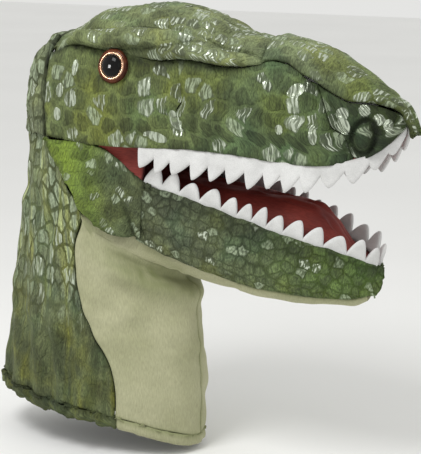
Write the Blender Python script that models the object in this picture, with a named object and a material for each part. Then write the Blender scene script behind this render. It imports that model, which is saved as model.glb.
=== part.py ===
"""A moving-mouth hand puppet: a plush dinosaur head on a long sleeve.

The puppeteer's arm comes up the sleeve, four fingers go into a pocket over the palate and the
thumb into a pocket in the lower jaw. The snout points along +X, the puppet's left is +Y and up
is +Z. The origin is in the sleeve's opening, on the line of the puppeteer's forearm.
Lengths are in metres. Each sewn panel is a thin sheet of its fabric's thickness.
"""

import math

import bmesh
import bpy
from mathutils import Matrix, Vector

RIGHT, LEFT = -1, 1
SIDES = ((RIGHT, "right"), (LEFT, "left"))

# Fabrics and fillings
PLUSH = 0.0025  # printed short-pile plush with its backing
LINING = 0.0012  # knitted lining of the sleeve and pockets
PALATE = 0.0018  # red lining of the mouth
BOARD = 0.0020  # stiffener boards behind the palates
FELT = 0.0024  # two-ply white felt of the teeth
SEAM_GAP = 0.0006  # half the gap left between neighbouring pieces

# Joint axes: where each one crosses the puppet's middle plane, as (x, z)
TURN_HEIGHT = 0.070  # the neck twists in the sleeve above this height
WRIST = (0.005, 0.150)  # the head nods about the puppeteer's wrist
MOUTH_CORNER = (0.025, 0.214)  # the jaw swings about the corners of the mouth
JAW_DROP = math.radians(16.6)  # how far the jaw hangs open at rest

# Hem: a casing rolled inwards at the foot of the sleeve
HEM_HEIGHT = 0.011
HEM_THICKNESS = 0.0055
CUFF_HEIGHT = 0.021  # of the lining's cuff, above the twist


def curve(*points):
    """A smooth curve through (x, value) points, as a function of x."""
    xs = [x for x, _ in points]
    ys = [y for _, y in points]
    last = len(points) - 1
    slopes = []
    for i in range(last + 1):
        a, b = max(i - 1, 0), min(i + 1, last)
        slopes.append((ys[b] - ys[a]) / (xs[b] - xs[a]))

    def value(x):
        x = min(max(x, xs[0]), xs[-1])
        i = min(max(j for j in range(last + 1) if xs[j] <= x), last - 1)
        span = xs[i + 1] - xs[i]
        t = (x - xs[i]) / span
        return (
            ys[i] * (1 + 2 * t) * (1 - t) ** 2
            + slopes[i] * span * t * (1 - t) ** 2
            + ys[i + 1] * t * t * (3 - 2 * t)
            + slopes[i + 1] * span * t * t * (t - 1)
        )

    return value


# Head, as functions of x: half-width at the lip, height of the lip and of the middle of the top
HEAD_HALF = curve((-0.022, 0.047), (0.020, 0.051), (0.060, 0.051), (0.100, 0.047), (0.140, 0.043),
                  (0.180, 0.038), (0.205, 0.032), (0.225, 0.024), (0.240, 0.014), (0.249, 0.005))
LIP = curve((-0.022, 0.217), (0.025, 0.214), (0.093, 0.216), (0.124, 0.215), (0.184, 0.210),
            (0.205, 0.211), (0.227, 0.217), (0.240, 0.226), (0.249, 0.237))
TOP = curve((-0.022, 0.294), (0.005, 0.308), (0.035, 0.315), (0.071, 0.316), (0.100, 0.309),
            (0.125, 0.299), (0.152, 0.295), (0.183, 0.288), (0.207, 0.277), (0.229, 0.262),
            (0.249, 0.246))
GROOVE = curve((-0.022, 34), (0.145, 34), (0.165, 42), (0.200, 40), (0.249, 44))  # degrees
HEAD_POWER = 2 / 3.0  # squareness of the head's section
HEAD_BACK, CHEEK_END, BROW_END, NOSE_SEAM, HEAD_FRONT = -0.022, 0.090, 0.150, 0.206, 0.249
BROW_TOP = 51  # degrees, where the brow meets the crown
NAPE_DEPTH = 0.035

# Neck, as functions of height: back, front and half-width of its oval
NECK_BACK = curve((-0.020, -0.096), (0.010, -0.092), (0.053, -0.085), (0.108, -0.079),
                  (0.159, -0.068), (0.195, -0.060), (0.217, -0.0575))
NECK_FRONT = curve((-0.020, 0.083), (0.022, 0.085), (0.050, 0.084), (0.077, 0.081),
                   (0.114, 0.075), (0.155, 0.062), (0.217, 0.040))
NECK_HALF = curve((-0.020, 0.050), (0.050, 0.048), (0.108, 0.0455), (0.155, 0.046), (0.217, 0.047))
HEM_LINE = curve((-0.093, 0.0085), (-0.055, 0.0050), (-0.016, 0.0005), (0.036, -0.0060),
                 (0.066, -0.0150), (0.086, -0.0240))  # height of the hem's foot, as a function of x
THROAT_EDGE = curve((-0.020, 64), (0.038, 68), (0.076, 82), (0.098, 88), (0.155, 89))  # degrees

# Jaw, in its own frame: x along the jaw from the hinge, z up from the hinge
JAW_HALF = curve((0.040, 0.047), (0.090, 0.044), (0.130, 0.040), (0.170, 0.033), (0.195, 0.025),
                 (0.210, 0.016), (0.218, 0.006))
JAW_LIP = curve((0.006, -0.004), (0.025, -0.010), (0.042, -0.015), (0.200, -0.015),
                (0.218, -0.019))
JAW_DEPTH = curve((0.042, 0.060), (0.100, 0.060), (0.140, 0.057), (0.175, 0.049), (0.197, 0.041),
                  (0.210, 0.035), (0.218, 0.026))
JAW_BACK, CHIN_BACK, JAW_FRONT = 0.044, 0.130, 0.218
CHIN_EDGE = 47  # degrees round the section where green side meets pale chin

# Teeth: depth of the felt's plain band, and the length and number of the teeth cut in it
UPPER_BAND = curve((0.061, 0.006), (0.085, 0.011), (0.140, 0.0125), (0.180, 0.0105),
                   (0.210, 0.008), (0.249, 0.0075))
UPPER_TOOTH, UPPER_TEETH = 0.009, 14
LOWER_BAND, LOWER_TOOTH, LOWER_TEETH = 0.0045, 0.0095, 13

# Eyes: 24 mm safety eyes, each a dome and its stem in one piece, a felt ring and a lock washer
EYE_X, EYE_ANGLE = 0.039, 26  # where on the cheek, angle in degrees round the head's section
EYE_RADIUS, PUPIL_DOME, STEM_RADIUS, STEM_LENGTH = 0.0105, 0.0068, 0.0024, 0.0090
EYE_FELT_RADIUS, EYE_FELT_THICKNESS = 0.0125, 0.0012
WASHER_RADIUS, WASHER_THICKNESS, WASHER_DEPTH = 0.0080, 0.0014, 0.0042

COLOURS = {
    "scale_plush": ((0.17, 0.25, 0.09), 0.55),
    "throat_plush": ((0.52, 0.53, 0.33), 0.85),
    "tooth_felt": ((0.80, 0.80, 0.78), 0.80),
    "mouth_satin": ((0.42, 0.05, 0.04), 0.50),
    "lining_knit": ((0.08, 0.09, 0.07), 0.90),
    "fibrefill": ((0.85, 0.85, 0.82), 0.95),
    "stiffener": ((0.55, 0.48, 0.38), 0.80),
    "eye_plastic": ((0.30, 0.12, 0.04), 0.10),
    "eye_felt": ((0.10, 0.05, 0.03), 0.90),
    "washer_plastic": ((0.80, 0.80, 0.80), 0.40),
}


def material(name):
    found = bpy.data.materials.get(name)
    if found:
        return found
    made = bpy.data.materials.new(name)
    made.use_nodes = True
    shader = made.node_tree.nodes["Principled BSDF"]
    colour, roughness = COLOURS[name]
    shader.inputs["Base Color"].default_value = (*colour, 1)
    shader.inputs["Roughness"].default_value = roughness
    shader.inputs["Metallic"].default_value = 0
    return made


def joint_axis(name, x, z, pitch=0.0, parent=None):
    """An empty on a joint's axis, which the pieces that the joint moves are parented to."""
    empty = bpy.data.objects.new(name, None)
    bpy.context.scene.collection.objects.link(empty)
    empty.parent = parent
    at = Vector((x, 0, z))
    empty.location = at - (parent.matrix_world.translation if parent else Vector())
    empty.rotation_euler = (0, pitch, 0)
    bpy.context.view_layer.update()
    return empty


def place(bm, name, fabric, parent, thickness=0.0, local=False):
    """Makes the mesh an object on its joint. A jaw piece is drawn in the jaw's own frame."""
    mesh = bpy.data.meshes.new(name)
    bm.to_mesh(mesh)
    bm.free()
    obj = bpy.data.objects.new(name, mesh)
    bpy.context.scene.collection.objects.link(obj)
    obj.data.materials.append(material(fabric))
    mesh.shade_smooth()
    mesh.set_sharp_from_angle(angle=math.radians(40))
    if parent:
        obj.parent = parent
        if not local:
            obj.matrix_parent_inverse = parent.matrix_world.inverted()
    if thickness:
        solid = obj.modifiers.new("fabric", "SOLIDIFY")
        solid.thickness = thickness
        solid.offset = -1
        solid.use_even_offset = True
        solid.thickness_clamp = 1
    return obj


def mapped_grid(across, along, point):
    """A grid of quads whose corners are point(u, v), u and v from 0 to 1. Edges that meet are sewn."""
    bm = bmesh.new()
    bmesh.ops.create_grid(bm, x_segments=across, y_segments=along, size=0.5)
    for vertex in bm.verts:
        vertex.co = point(vertex.co.x + 0.5, vertex.co.y + 0.5)
    bmesh.ops.remove_doubles(bm, verts=bm.verts, dist=1e-6)
    return bm


def sheet(name, fabric, parent, across, along, point, thickness, inside, local=False):
    """A sheet of fabric with its outer face on point(u, v) and its thickness towards inside."""
    bm = mapped_grid(across, along, point)
    bmesh.ops.recalc_face_normals(bm, faces=bm.faces)
    outward = sum((f.calc_center_median() - inside).dot(f.normal) * f.calc_area() for f in bm.faces)
    if outward < 0:
        bmesh.ops.reverse_faces(bm, faces=bm.faces)
    return place(bm, name, fabric, parent, thickness, local)


def filling(name, fabric, parent, across, along, point, local=False):
    """A closed stuffed form. Its first and last rows meet in a point."""
    bm = mapped_grid(across, along, point)
    bmesh.ops.recalc_face_normals(bm, faces=bm.faces)
    return place(bm, name, fabric, parent, local=local)


def between(low, high, t, gap=SEAM_GAP):
    """A value from low to high, held off both ends by a seam's gap."""
    return low + gap + (high - low - 2 * gap) * t


def section(half, height, degrees):
    """(y, z) of a point round a quarter of a squarish section, from its side to its top."""
    angle = math.radians(degrees)
    return (
        half * max(math.cos(angle), 0) ** HEAD_POWER,
        height * max(math.sin(angle), 0) ** HEAD_POWER,
    )


def head_point(side, x, degrees, proud=0.0):
    """A point on the head's skin; proud swells it away from the middle of the section."""
    y, z = section(HEAD_HALF(x), TOP(x) - LIP(x), degrees)
    swell = Vector((0, y, z)).normalized() * proud
    return Vector((x, side * (y + swell.y), LIP(x) + z + swell.z))


def head_frame(side, x, degrees):
    """(point, outward normal) of the head's skin."""
    here = head_point(side, x, degrees)
    forward = head_point(side, x + 0.001, degrees) - here
    upward = head_point(side, x, degrees + 0.5) - here
    normal = forward.cross(upward).normalized()
    return here, normal if normal.y * side > 0 else -normal


def jaw_point(side, x, degrees, inset=0.0):
    y, z = section(JAW_HALF(x) - inset, JAW_DEPTH(x) - inset, degrees)
    return Vector((x, side * y, JAW_LIP(x) - z))


def jaw_to_world(point):
    turn = Matrix.Rotation(JAW_DROP, 4, "Y")
    return turn @ point + Vector((MOUTH_CORNER[0], 0, MOUTH_CORNER[1]))


def neck_point(side, height, degrees, inset=0.0):
    """A point round the neck's oval. Angle 0 is the front, 180 the back."""
    back, front = NECK_BACK(height) + inset, NECK_FRONT(height) - inset
    angle = math.radians(degrees)
    x = (front + back) / 2 + (front - back) / 2 * math.cos(angle)
    return Vector((x, side * (NECK_HALF(height) - inset) * math.sin(angle), height))


def hem_height(degrees):
    """Height of the hem's foot under a point of the sleeve."""
    height = 0.0
    for _ in range(3):
        height = HEM_LINE(neck_point(RIGHT, height, degrees).x)
    return height


def collar_height(degrees):
    """Top of the neck's fabric: under the jaw at the front, up to the cheeks at the back."""
    x = 0.001 + 0.072 * math.cos(math.radians(degrees))
    if x > 0.004:
        return 0.155 - 0.5 * (x - 0.004)
    if x > -0.022:
        return 0.155 + (0.004 - x) / 0.026 * 0.060
    return 0.215


def make_sleeve():
    """The lower neck: green skin round the back, pale throat at the front, hem and lining."""
    for side, word in SIDES:
        def skin(u, v):
            foot, top = HEM_HEIGHT, TURN_HEIGHT
            edge = THROAT_EDGE(v * top) + 0.6
            angle = edge + (178.8 - edge) * u
            return neck_point(side, between(hem_height(angle) + foot, top, v), angle)

        def throat(u, v):
            angle = 1.1 + (THROAT_EDGE(v * TURN_HEIGHT) - 1.8) * u
            return neck_point(side, between(hem_height(angle) + HEM_HEIGHT, TURN_HEIGHT, v), angle)

        core = Vector((0, 0, 0.05))
        sheet(f"sleeve_skin_{word}", "scale_plush", None, 8, 6, skin, PLUSH, core)
        sheet(f"sleeve_throat_{word}", "throat_plush", None, 6, 6, throat, PLUSH, core)

    def hem(first, last):
        def point(u, v):
            """v goes once round the casing's rectangle: out, up, in and down."""
            turn = first + (last - first) * u
            side, angle = (RIGHT, -turn) if turn < 0 else (LEFT, turn)
            inset = HEM_THICKNESS if 0.5 <= v < 1 else 0
            lift = HEM_HEIGHT if 0.25 <= v < 0.75 else 0
            foot = hem_height(angle)
            on_hem = neck_point(side, foot, angle, inset)
            return Vector((on_hem.x, on_hem.y, foot + lift))
        return point

    for name, fabric, first, last, pieces in (
        ("hem_throat", "throat_plush", -63.2, 63.2, 12),
        ("hem_skin", "scale_plush", 63.8, 296.2, 20),
    ):
        bm = mapped_grid(pieces, 4, hem(first, last))
        bmesh.ops.holes_fill(bm, edges=bm.edges)
        bmesh.ops.recalc_face_normals(bm, faces=bm.faces)
        place(bm, name, fabric, None)

    def lining(u, v):
        turn = 360 * u
        side, angle = (LEFT, turn) if turn <= 180 else (RIGHT, 360 - turn)
        height = between(hem_height(angle) + HEM_HEIGHT + 0.002, TURN_HEIGHT, v)
        return neck_point(side, height, angle, inset=0.004)

    sheet("sleeve_lining", "lining_knit", None, 20, 4, lining, LINING, Vector((0, 0, 0.05)))


def make_neck(turn):
    """The upper neck, which turns with the wrist and creases when the head nods."""
    core = Vector((0, 0, 0.14))

    def seam(v):
        """Where green meets pale, in degrees round the neck, v of the way up."""
        return THROAT_EDGE(TURN_HEIGHT + (0.152 - TURN_HEIGHT) * v)

    for side, word in SIDES:
        def skin(u, v):
            edge = seam(v) + 0.6
            angle = edge + (178.8 - edge) * u
            return neck_point(side, between(TURN_HEIGHT, collar_height(angle), v), angle)

        def throat(u, v):
            angle = 1.1 + (seam(v) - 1.8) * u
            return neck_point(side, between(TURN_HEIGHT, collar_height(angle), v), angle)

        sheet(f"neck_skin_{word}", "scale_plush", turn, 8, 6, skin, PLUSH, core)
        sheet(f"neck_throat_{word}", "throat_plush", turn, 6, 4, throat, PLUSH, core)

    def cuff(u, v):
        circle = 360 * u
        side, angle = (LEFT, circle) if circle <= 180 else (RIGHT, 360 - circle)
        return neck_point(side, between(TURN_HEIGHT, TURN_HEIGHT + CUFF_HEIGHT, v), angle, inset=0.006)

    sheet("glove_cuff", "lining_knit", turn, 20, 2, cuff, LINING, core)


def make_head_skin(nod):
    core = Vector((0.08, 0, 0.24))
    for side, word in SIDES:
        def cheek(u, v):
            x = between(HEAD_BACK, CHEEK_END, u)
            return head_point(side, x, (GROOVE(x) - 0.8) * v)

        def muzzle(u, v):
            x = between(CHEEK_END, NOSE_SEAM, u)
            return head_point(side, x, (GROOVE(x) - 0.8) * v)

        def nose_side(u, v):
            x = between(NOSE_SEAM, HEAD_FRONT - 0.0045, math.sin(u * math.pi / 2))
            return head_point(side, x, (GROOVE(x) - 1.2) * v)

        def brow(u, v):
            """A padded roll that overhangs the eye and tapers away at both ends."""
            x = between(HEAD_BACK + 0.008, BROW_END, u)
            low, high = GROOVE(x) + 0.8, BROW_TOP - 0.6
            swell = 0.006 * math.sin(math.pi * u) ** 0.6 * math.sin(math.pi * v) ** 0.7
            return head_point(side, x, low + (high - low) * v, swell)

        def crown(u, v):
            x = between(HEAD_BACK, BROW_END, u)
            return head_point(side, x, BROW_TOP + 0.6 + (89.2 - BROW_TOP - 0.6) * v)

        def nape(u, v):
            """The back of the head, drawn in from the cheeks' edge to the top of the neck."""
            turn = math.radians(84 * u)
            y, z = section(HEAD_HALF(HEAD_BACK), TOP(HEAD_BACK) - LIP(HEAD_BACK), 89.4 * v)
            x = HEAD_BACK - 0.0015 - NAPE_DEPTH * math.sin(turn)
            return Vector((x, side * y * math.cos(turn), LIP(HEAD_BACK) + z * math.cos(turn)))

        sheet(f"cheek_{word}", "scale_plush", nod, 9, 5, cheek, PLUSH, core)
        sheet(f"muzzle_{word}", "scale_plush", nod, 8, 5, muzzle, PLUSH, core)
        sheet(f"nose_side_{word}", "scale_plush", nod, 6, 4, nose_side, PLUSH, core)
        sheet(f"brow_{word}", "scale_plush", nod, 12, 4, brow, PLUSH, core)
        sheet(f"crown_{word}", "scale_plush", nod, 12, 5, crown, PLUSH, core)
        sheet(f"nape_{word}", "scale_plush", nod, 6, 7, nape, PLUSH, core)

    def bridge(u, v):
        """The top of the snout, one strip that narrows and hooks down over the tip."""
        x = between(BROW_END, 0.2495, math.sin(u * math.pi / 2))
        side = RIGHT if v < 0.5 else LEFT
        edge = GROOVE(x) + 0.8
        across = head_point(side, x, 90 - (90 - edge) * abs(2 * v - 1), 0.0015)
        hook = max(0.0, (x - 0.244) / 0.0055)
        return across + Vector((0.003 * hook, 0, -0.010 * hook**2))

    sheet("nose_bridge", "scale_plush", nod, 9, 8, bridge, PLUSH, core)


def corner_line(points, t):
    """A point t of the way along a line of (x, z) corners, by share of its pieces."""
    place_on = t * (len(points) - 1)
    i = min(int(place_on), len(points) - 2)
    part = place_on - i
    return [points[i][k] + (points[i + 1][k] - points[i][k]) * part for k in range(2)]


def make_corners(nod):
    """Jowls and the folded red webs, which stretch between head and jaw as the mouth moves."""
    jowl_top = [(-0.019, 0.2145), (0.024, 0.2115), (0.0605, 0.186)]
    jowl_foot = [(-0.018, 0.209), (0.010, 0.163), (0.033, 0.147), (0.0495, 0.1475)]
    web_top = [(0.029, 0.2110), (0.059, 0.2110)]
    web_foot = [(0.029, 0.2085), (0.0585, 0.1900)]
    for side, word in SIDES:
        def jowl(u, v):
            (x0, z0), (x1, z1) = corner_line(jowl_top, u), corner_line(jowl_foot, u)
            bulge = 0.005 * math.sin(math.pi * v) * math.sin(math.pi * u)
            return Vector((
                x0 + (x1 - x0) * v,
                side * (0.0500 - 0.004 * u - 0.002 * v + bulge),
                z0 + (z1 - z0) * v,
            ))

        def web(u, v):
            (x0, z0), (x1, z1) = corner_line(web_top, u), corner_line(web_foot, u)
            fold = 0.006 * u * math.sin(math.pi * v)
            return Vector((x0 + (x1 - x0) * v, side * (0.0465 - fold), z0 + (z1 - z0) * v))

        core = Vector((0.03, 0, 0.2))
        sheet(f"jowl_{word}", "scale_plush", nod, 9, 5, jowl, PLUSH, core)
        sheet(f"mouth_web_{word}", "mouth_satin", nod, 4, 4, web, PALATE, core)


def tooth_profile(share):
    """How far down a tooth reaches, from 0 at its root to 1 at its tip, across its width."""
    return (0.0, 0.62, 1.0, 0.55)[round(share * 4) % 4]


def lip_walk(half, first, last, count):
    """x values along a lip's outline in plan, evenly spaced along the outline."""
    steps = 200
    xs = [first + (last - first) * i / steps for i in range(steps + 1)]
    run = [0.0]
    for a, b in zip(xs, xs[1:]):
        run.append(run[-1] + math.hypot(b - a, half(b) - half(a)))
    found, i = [], 0
    for k in range(count + 1):
        wanted = run[-1] * k / count
        while i < steps - 1 and run[i + 1] < wanted:
            i += 1
        share = (wanted - run[i]) / (run[i + 1] - run[i])
        found.append(xs[i] + (xs[i + 1] - xs[i]) * share)
    return found


def make_upper_teeth(nod):
    steps = UPPER_TEETH * 4
    xs = lip_walk(HEAD_HALF, 0.061, 0.2485, steps)
    for side, word in SIDES:
        def strip(u, v):
            k = round(u * steps)
            x = xs[k]
            depth = UPPER_BAND(x) + UPPER_TOOTH * tooth_profile(k / 4 % 1)
            y = max(HEAD_HALF(x) - 0.0008, 0.0035)
            return Vector((x, side * y, LIP(x) - 0.0008 - depth * v))

        sheet(f"upper_teeth_{word}", "tooth_felt", nod, steps, 1, strip, FELT,
              Vector((0.12, 0, 0.21)))


def make_lower_teeth(jaw):
    steps = LOWER_TEETH * 4
    xs = lip_walk(JAW_HALF, 0.046, 0.2165, steps)
    for side, word in SIDES:
        def strip(u, v):
            k = round(u * steps)
            x = xs[k]
            height = LOWER_BAND + LOWER_TOOTH * tooth_profile(k / 4 % 1)
            y = max(JAW_HALF(x) - 0.0036, 0.0035)
            return Vector((x, side * y, JAW_LIP(x) + 0.0008 + height * v))

        sheet(f"lower_teeth_{word}", "tooth_felt", jaw, steps, 1, strip, FELT,
              Vector((0.11, 0, 0)), local=True)


def make_mouth(nod, jaw):
    """The red palates, the boards that stiffen them and the two hand pockets."""
    above, below = Vector((0.12, 0, 0.30)), Vector((0.10, 0, -0.20))

    def palate(lift, margin, first, last):
        def point(u, v):
            x = first + (last - first) * math.sin(u * math.pi / 2)
            half = max(HEAD_HALF(x) - margin, 0.002)
            return Vector((x, half * (2 * v - 1), LIP(x) + lift))
        return point

    def floor(drop, margin, first, last):
        def point(u, v):
            x = first + (last - first) * math.sin(u * math.pi / 2)
            half = max(JAW_HALF(x) - margin, 0.002)
            y = half * (2 * v - 1)
            swell = max(math.sin(math.pi * (x - 0.010) / 0.198), 0) ** 0.7
            ridge = 0.010 * math.exp(-((y / 0.022) ** 2)) * swell
            return Vector((x, y, JAW_LIP(x) - drop + ridge))
        return point

    sheet("upper_palate", "mouth_satin", nod, 9, 4, palate(0.0005, 0.005, 0.031, 0.243),
          PALATE, above)
    sheet("upper_palate_board", "stiffener", nod, 8, 4, palate(0.0034, 0.009, 0.036, 0.230),
          BOARD, above)
    sheet("lower_palate", "mouth_satin", jaw, 9, 6, floor(0.0005, 0.0075, 0.010, 0.208),
          PALATE, below, local=True)
    sheet("lower_palate_board", "stiffener", jaw, 8, 6, floor(0.0032, 0.011, 0.046, 0.195),
          BOARD, below, local=True)

    def pocket(middle, reach, half, height):
        """A flat sack, open at the back. v runs from its mouth to its closed end."""
        def point(u, v):
            turn = 2 * math.pi * u
            close = math.cos(v * math.pi / 2) ** 0.35 if v < 1 else 0
            return middle + Vector((
                reach * v,
                half * close * math.copysign(abs(math.cos(turn)) ** 0.7, math.cos(turn)),
                height * close * math.copysign(abs(math.sin(turn)) ** 0.7, math.sin(turn)),
            ))
        return point

    fingers = pocket(Vector((0.030, 0, 0.2390)), 0.115, 0.038, 0.0165)
    thumb = pocket(Vector((0.040, 0, -0.0390)), 0.080, 0.024, 0.0155)
    sheet("finger_pocket", "lining_knit", nod, 14, 6, fingers, LINING, Vector((0.09, 0, 0.239)))
    sheet("thumb_pocket", "lining_knit", jaw, 12, 5, thumb, LINING, Vector((0.08, 0, -0.039)),
          local=True)


def make_fillings(nod, jaw):
    """Fibrefill between the skin and the hand pockets."""
    def crown_fill(u, v):
        x = -0.012 + 0.157 * v
        turn = 2 * math.pi * u
        close = math.sin(math.pi * min(max(v, 0), 1)) ** 0.4 if 0 < v < 1 else 0
        half, top = HEAD_HALF(x) - 0.015, TOP(x) - 0.006
        base = 0.2580
        rise = (top - base) * (0.5 + 0.5 * math.sin(turn)) ** 0.8
        return Vector((x, half * close * math.cos(turn), base + rise * close))

    def snout_fill(u, v):
        x = 0.150 + 0.085 * v
        turn = 2 * math.pi * u
        close = math.sin(math.pi * (0.12 + 0.88 * v)) ** 0.5 if 0 < v < 1 else 0
        half = (HEAD_HALF(x) - 0.006) * close
        low, high = LIP(x) + 0.0058, TOP(x) - 0.0065
        middle, tall = (low + high) / 2, (high - low) / 2 * close
        return Vector((x, half * math.cos(turn), middle + tall * math.sin(turn)))

    def jaw_fill(u, v):
        x = 0.124 + 0.078 * v
        turn = 2 * math.pi * u
        close = math.sin(math.pi * (0.12 + 0.88 * v)) ** 0.5 if 0 < v < 1 else 0
        half = (JAW_HALF(x) - 0.006) * close
        high, low = JAW_LIP(x) - 0.0060, JAW_LIP(x) - JAW_DEPTH(x) + 0.0040
        middle, tall = (low + high) / 2, (high - low) / 2 * close
        return Vector((x, half * math.cos(turn), middle + tall * math.sin(turn)))

    filling("crown_filling", "fibrefill", nod, 14, 8, crown_fill)
    filling("snout_filling", "fibrefill", nod, 14, 6, snout_fill)
    filling("jaw_filling", "fibrefill", jaw, 12, 6, jaw_fill, local=True)


def make_jaw_skin(jaw):
    core = Vector((0.12, 0, -0.035))
    for side, word in SIDES:
        def skin(u, v):
            x = between(JAW_BACK, JAW_FRONT, math.sin(u * math.pi / 2))
            return jaw_point(side, x, 1 + (CHIN_EDGE - 2.4) * v)

        sheet(f"jaw_skin_{word}", "scale_plush", jaw, 10, 5, skin, PLUSH, core, local=True)

    def chin(u, v):
        x = between(CHIN_BACK, 0.2175, math.sin(u * math.pi / 2))
        across = 2 * v - 1
        side = RIGHT if across < 0 else LEFT
        return jaw_point(side, x, 90 - (90 - CHIN_EDGE - 1.4) * abs(across))

    sheet("chin_panel", "throat_plush", jaw, 7, 8, chin, PLUSH, core, local=True)

    def gusset(u, v):
        """Pale fabric from under the jaw back to the throat, slack enough to let the jaw drop."""
        across = 2 * v - 1
        side = RIGHT if across < 0 else LEFT
        near = jaw_point(side, CHIN_BACK - 0.0012, 90 - (88 - CHIN_EDGE) * abs(across), 0.001)
        angle = 80 * abs(across)
        far = neck_point(side, collar_height(angle), angle, inset=0.0005)
        far.z += 0.0015
        world = jaw_to_world(near).lerp(far, u)
        world.y *= 1 - 0.16 * math.sin(math.pi * u)
        return world

    low = sheet("throat_gusset", "throat_plush", None, 6, 8, gusset, PLUSH,
                Vector((0.07, 0, 0.20)))
    low.parent = jaw
    low.matrix_parent_inverse = jaw.matrix_world.inverted()


def turned(profile):
    """A closed solid from (radius, height) points, turned about Z, first and last on the axis."""
    bm = bmesh.new()
    line = [bm.verts.new((radius, 0, height)) for radius, height in profile]
    edges = [bm.edges.new(pair) for pair in zip(line, line[1:])]
    bmesh.ops.spin(bm, geom=line + edges, cent=(0, 0, 0), axis=(0, 0, 1), angle=2 * math.pi,
                   steps=16, use_merge=True)
    bmesh.ops.remove_doubles(bm, verts=bm.verts, dist=1e-6)
    bmesh.ops.recalc_face_normals(bm, faces=bm.faces)
    return bm


def make_eyes(nod):
    for side, word in SIDES:
        at, outward = head_frame(side, EYE_X, EYE_ANGLE)
        seat = Matrix.Translation(at) @ outward.to_track_quat("Z", "Y").to_matrix().to_4x4()
        felt_back = 0.0005
        dome_back = felt_back + EYE_FELT_THICKNESS + 0.0004
        dome = [(0, dome_back + PUPIL_DOME)]
        for step in range(1, 6):
            angle = math.radians(90 - 18 * step)
            dome.append((EYE_RADIUS * math.cos(angle), dome_back + PUPIL_DOME * math.sin(angle)))
        dome += [(STEM_RADIUS, dome_back), (STEM_RADIUS, -STEM_LENGTH), (0, -STEM_LENGTH)]

        def ring(inner, outer, low, high):
            return [(inner, low), (outer, low), (outer, high), (inner, high), (inner, low)]

        pieces = (
            (f"eye_{word}", "eye_plastic", dome),
            (f"eye_felt_{word}", "eye_felt",
             ring(STEM_RADIUS + 0.0006, EYE_FELT_RADIUS, felt_back,
                  felt_back + EYE_FELT_THICKNESS)),
            (f"eye_washer_{word}", "washer_plastic",
             ring(STEM_RADIUS + 0.0004, WASHER_RADIUS, -WASHER_DEPTH - WASHER_THICKNESS,
                  -WASHER_DEPTH)),
        )
        for name, fabric, profile in pieces:
            bm = turned(profile)
            bmesh.ops.transform(bm, matrix=seat, verts=bm.verts)
            place(bm, name, fabric, nod)

        hole = bmesh.new()
        bmesh.ops.create_cone(hole, cap_ends=True, segments=16, radius1=STEM_RADIUS + 0.0008,
                              radius2=STEM_RADIUS + 0.0008, depth=0.02, matrix=seat)
        cutter = place(hole, f"eye_hole_{word}", "eye_felt", nod)
        cutter.hide_render = True
        cutter.display_type = "WIRE"
        cut = bpy.data.objects[f"cheek_{word}"].modifiers.new("eye hole", "BOOLEAN")
        cut.operation = "DIFFERENCE"
        cut.solver = "EXACT"
        cut.object = cutter


def main():
    for obj in list(bpy.data.objects):
        bpy.data.objects.remove(obj)
    turn = joint_axis("head_turn_axis", 0, TURN_HEIGHT)
    nod = joint_axis("head_nod_axis", *WRIST, parent=turn)
    jaw = joint_axis("jaw_axis", *MOUTH_CORNER, pitch=JAW_DROP, parent=nod)
    make_sleeve()
    make_neck(turn)
    make_head_skin(nod)
    make_corners(nod)
    make_upper_teeth(nod)
    make_lower_teeth(jaw)
    make_mouth(nod, jaw)
    make_fillings(nod, jaw)
    make_jaw_skin(jaw)
    make_eyes(nod)


main()
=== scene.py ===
import math

import bmesh
import bpy
import numpy as np
from mathutils import Matrix, Vector


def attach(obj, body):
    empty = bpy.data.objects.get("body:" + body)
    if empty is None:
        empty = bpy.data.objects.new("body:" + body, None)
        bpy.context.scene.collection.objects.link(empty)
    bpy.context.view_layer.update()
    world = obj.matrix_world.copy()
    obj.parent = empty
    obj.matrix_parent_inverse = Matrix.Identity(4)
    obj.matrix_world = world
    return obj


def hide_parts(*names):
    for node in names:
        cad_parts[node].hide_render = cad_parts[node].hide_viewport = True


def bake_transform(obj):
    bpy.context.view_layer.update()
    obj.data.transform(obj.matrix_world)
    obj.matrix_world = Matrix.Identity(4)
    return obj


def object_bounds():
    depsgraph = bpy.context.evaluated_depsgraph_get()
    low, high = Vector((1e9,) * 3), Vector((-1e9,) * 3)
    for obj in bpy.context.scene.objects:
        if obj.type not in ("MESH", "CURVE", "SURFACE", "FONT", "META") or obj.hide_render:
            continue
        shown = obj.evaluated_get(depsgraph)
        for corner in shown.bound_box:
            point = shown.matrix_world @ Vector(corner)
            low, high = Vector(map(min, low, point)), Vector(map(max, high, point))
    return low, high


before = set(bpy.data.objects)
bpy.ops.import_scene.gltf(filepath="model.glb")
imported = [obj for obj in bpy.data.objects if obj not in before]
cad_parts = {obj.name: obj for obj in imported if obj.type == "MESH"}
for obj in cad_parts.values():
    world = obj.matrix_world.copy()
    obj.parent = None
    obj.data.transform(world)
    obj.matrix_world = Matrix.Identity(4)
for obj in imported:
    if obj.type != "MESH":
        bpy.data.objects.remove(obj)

cad_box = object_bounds()

# ---------------------------------------------------------------- Setting
# A pale floor just under the hem and a bright even room. One lamp stands above the near side, a
# weak one before the snout, and a third lights nothing but the eyes, for their glint.
scene = bpy.context.scene
scene.view_settings.view_transform = "Standard"

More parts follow.
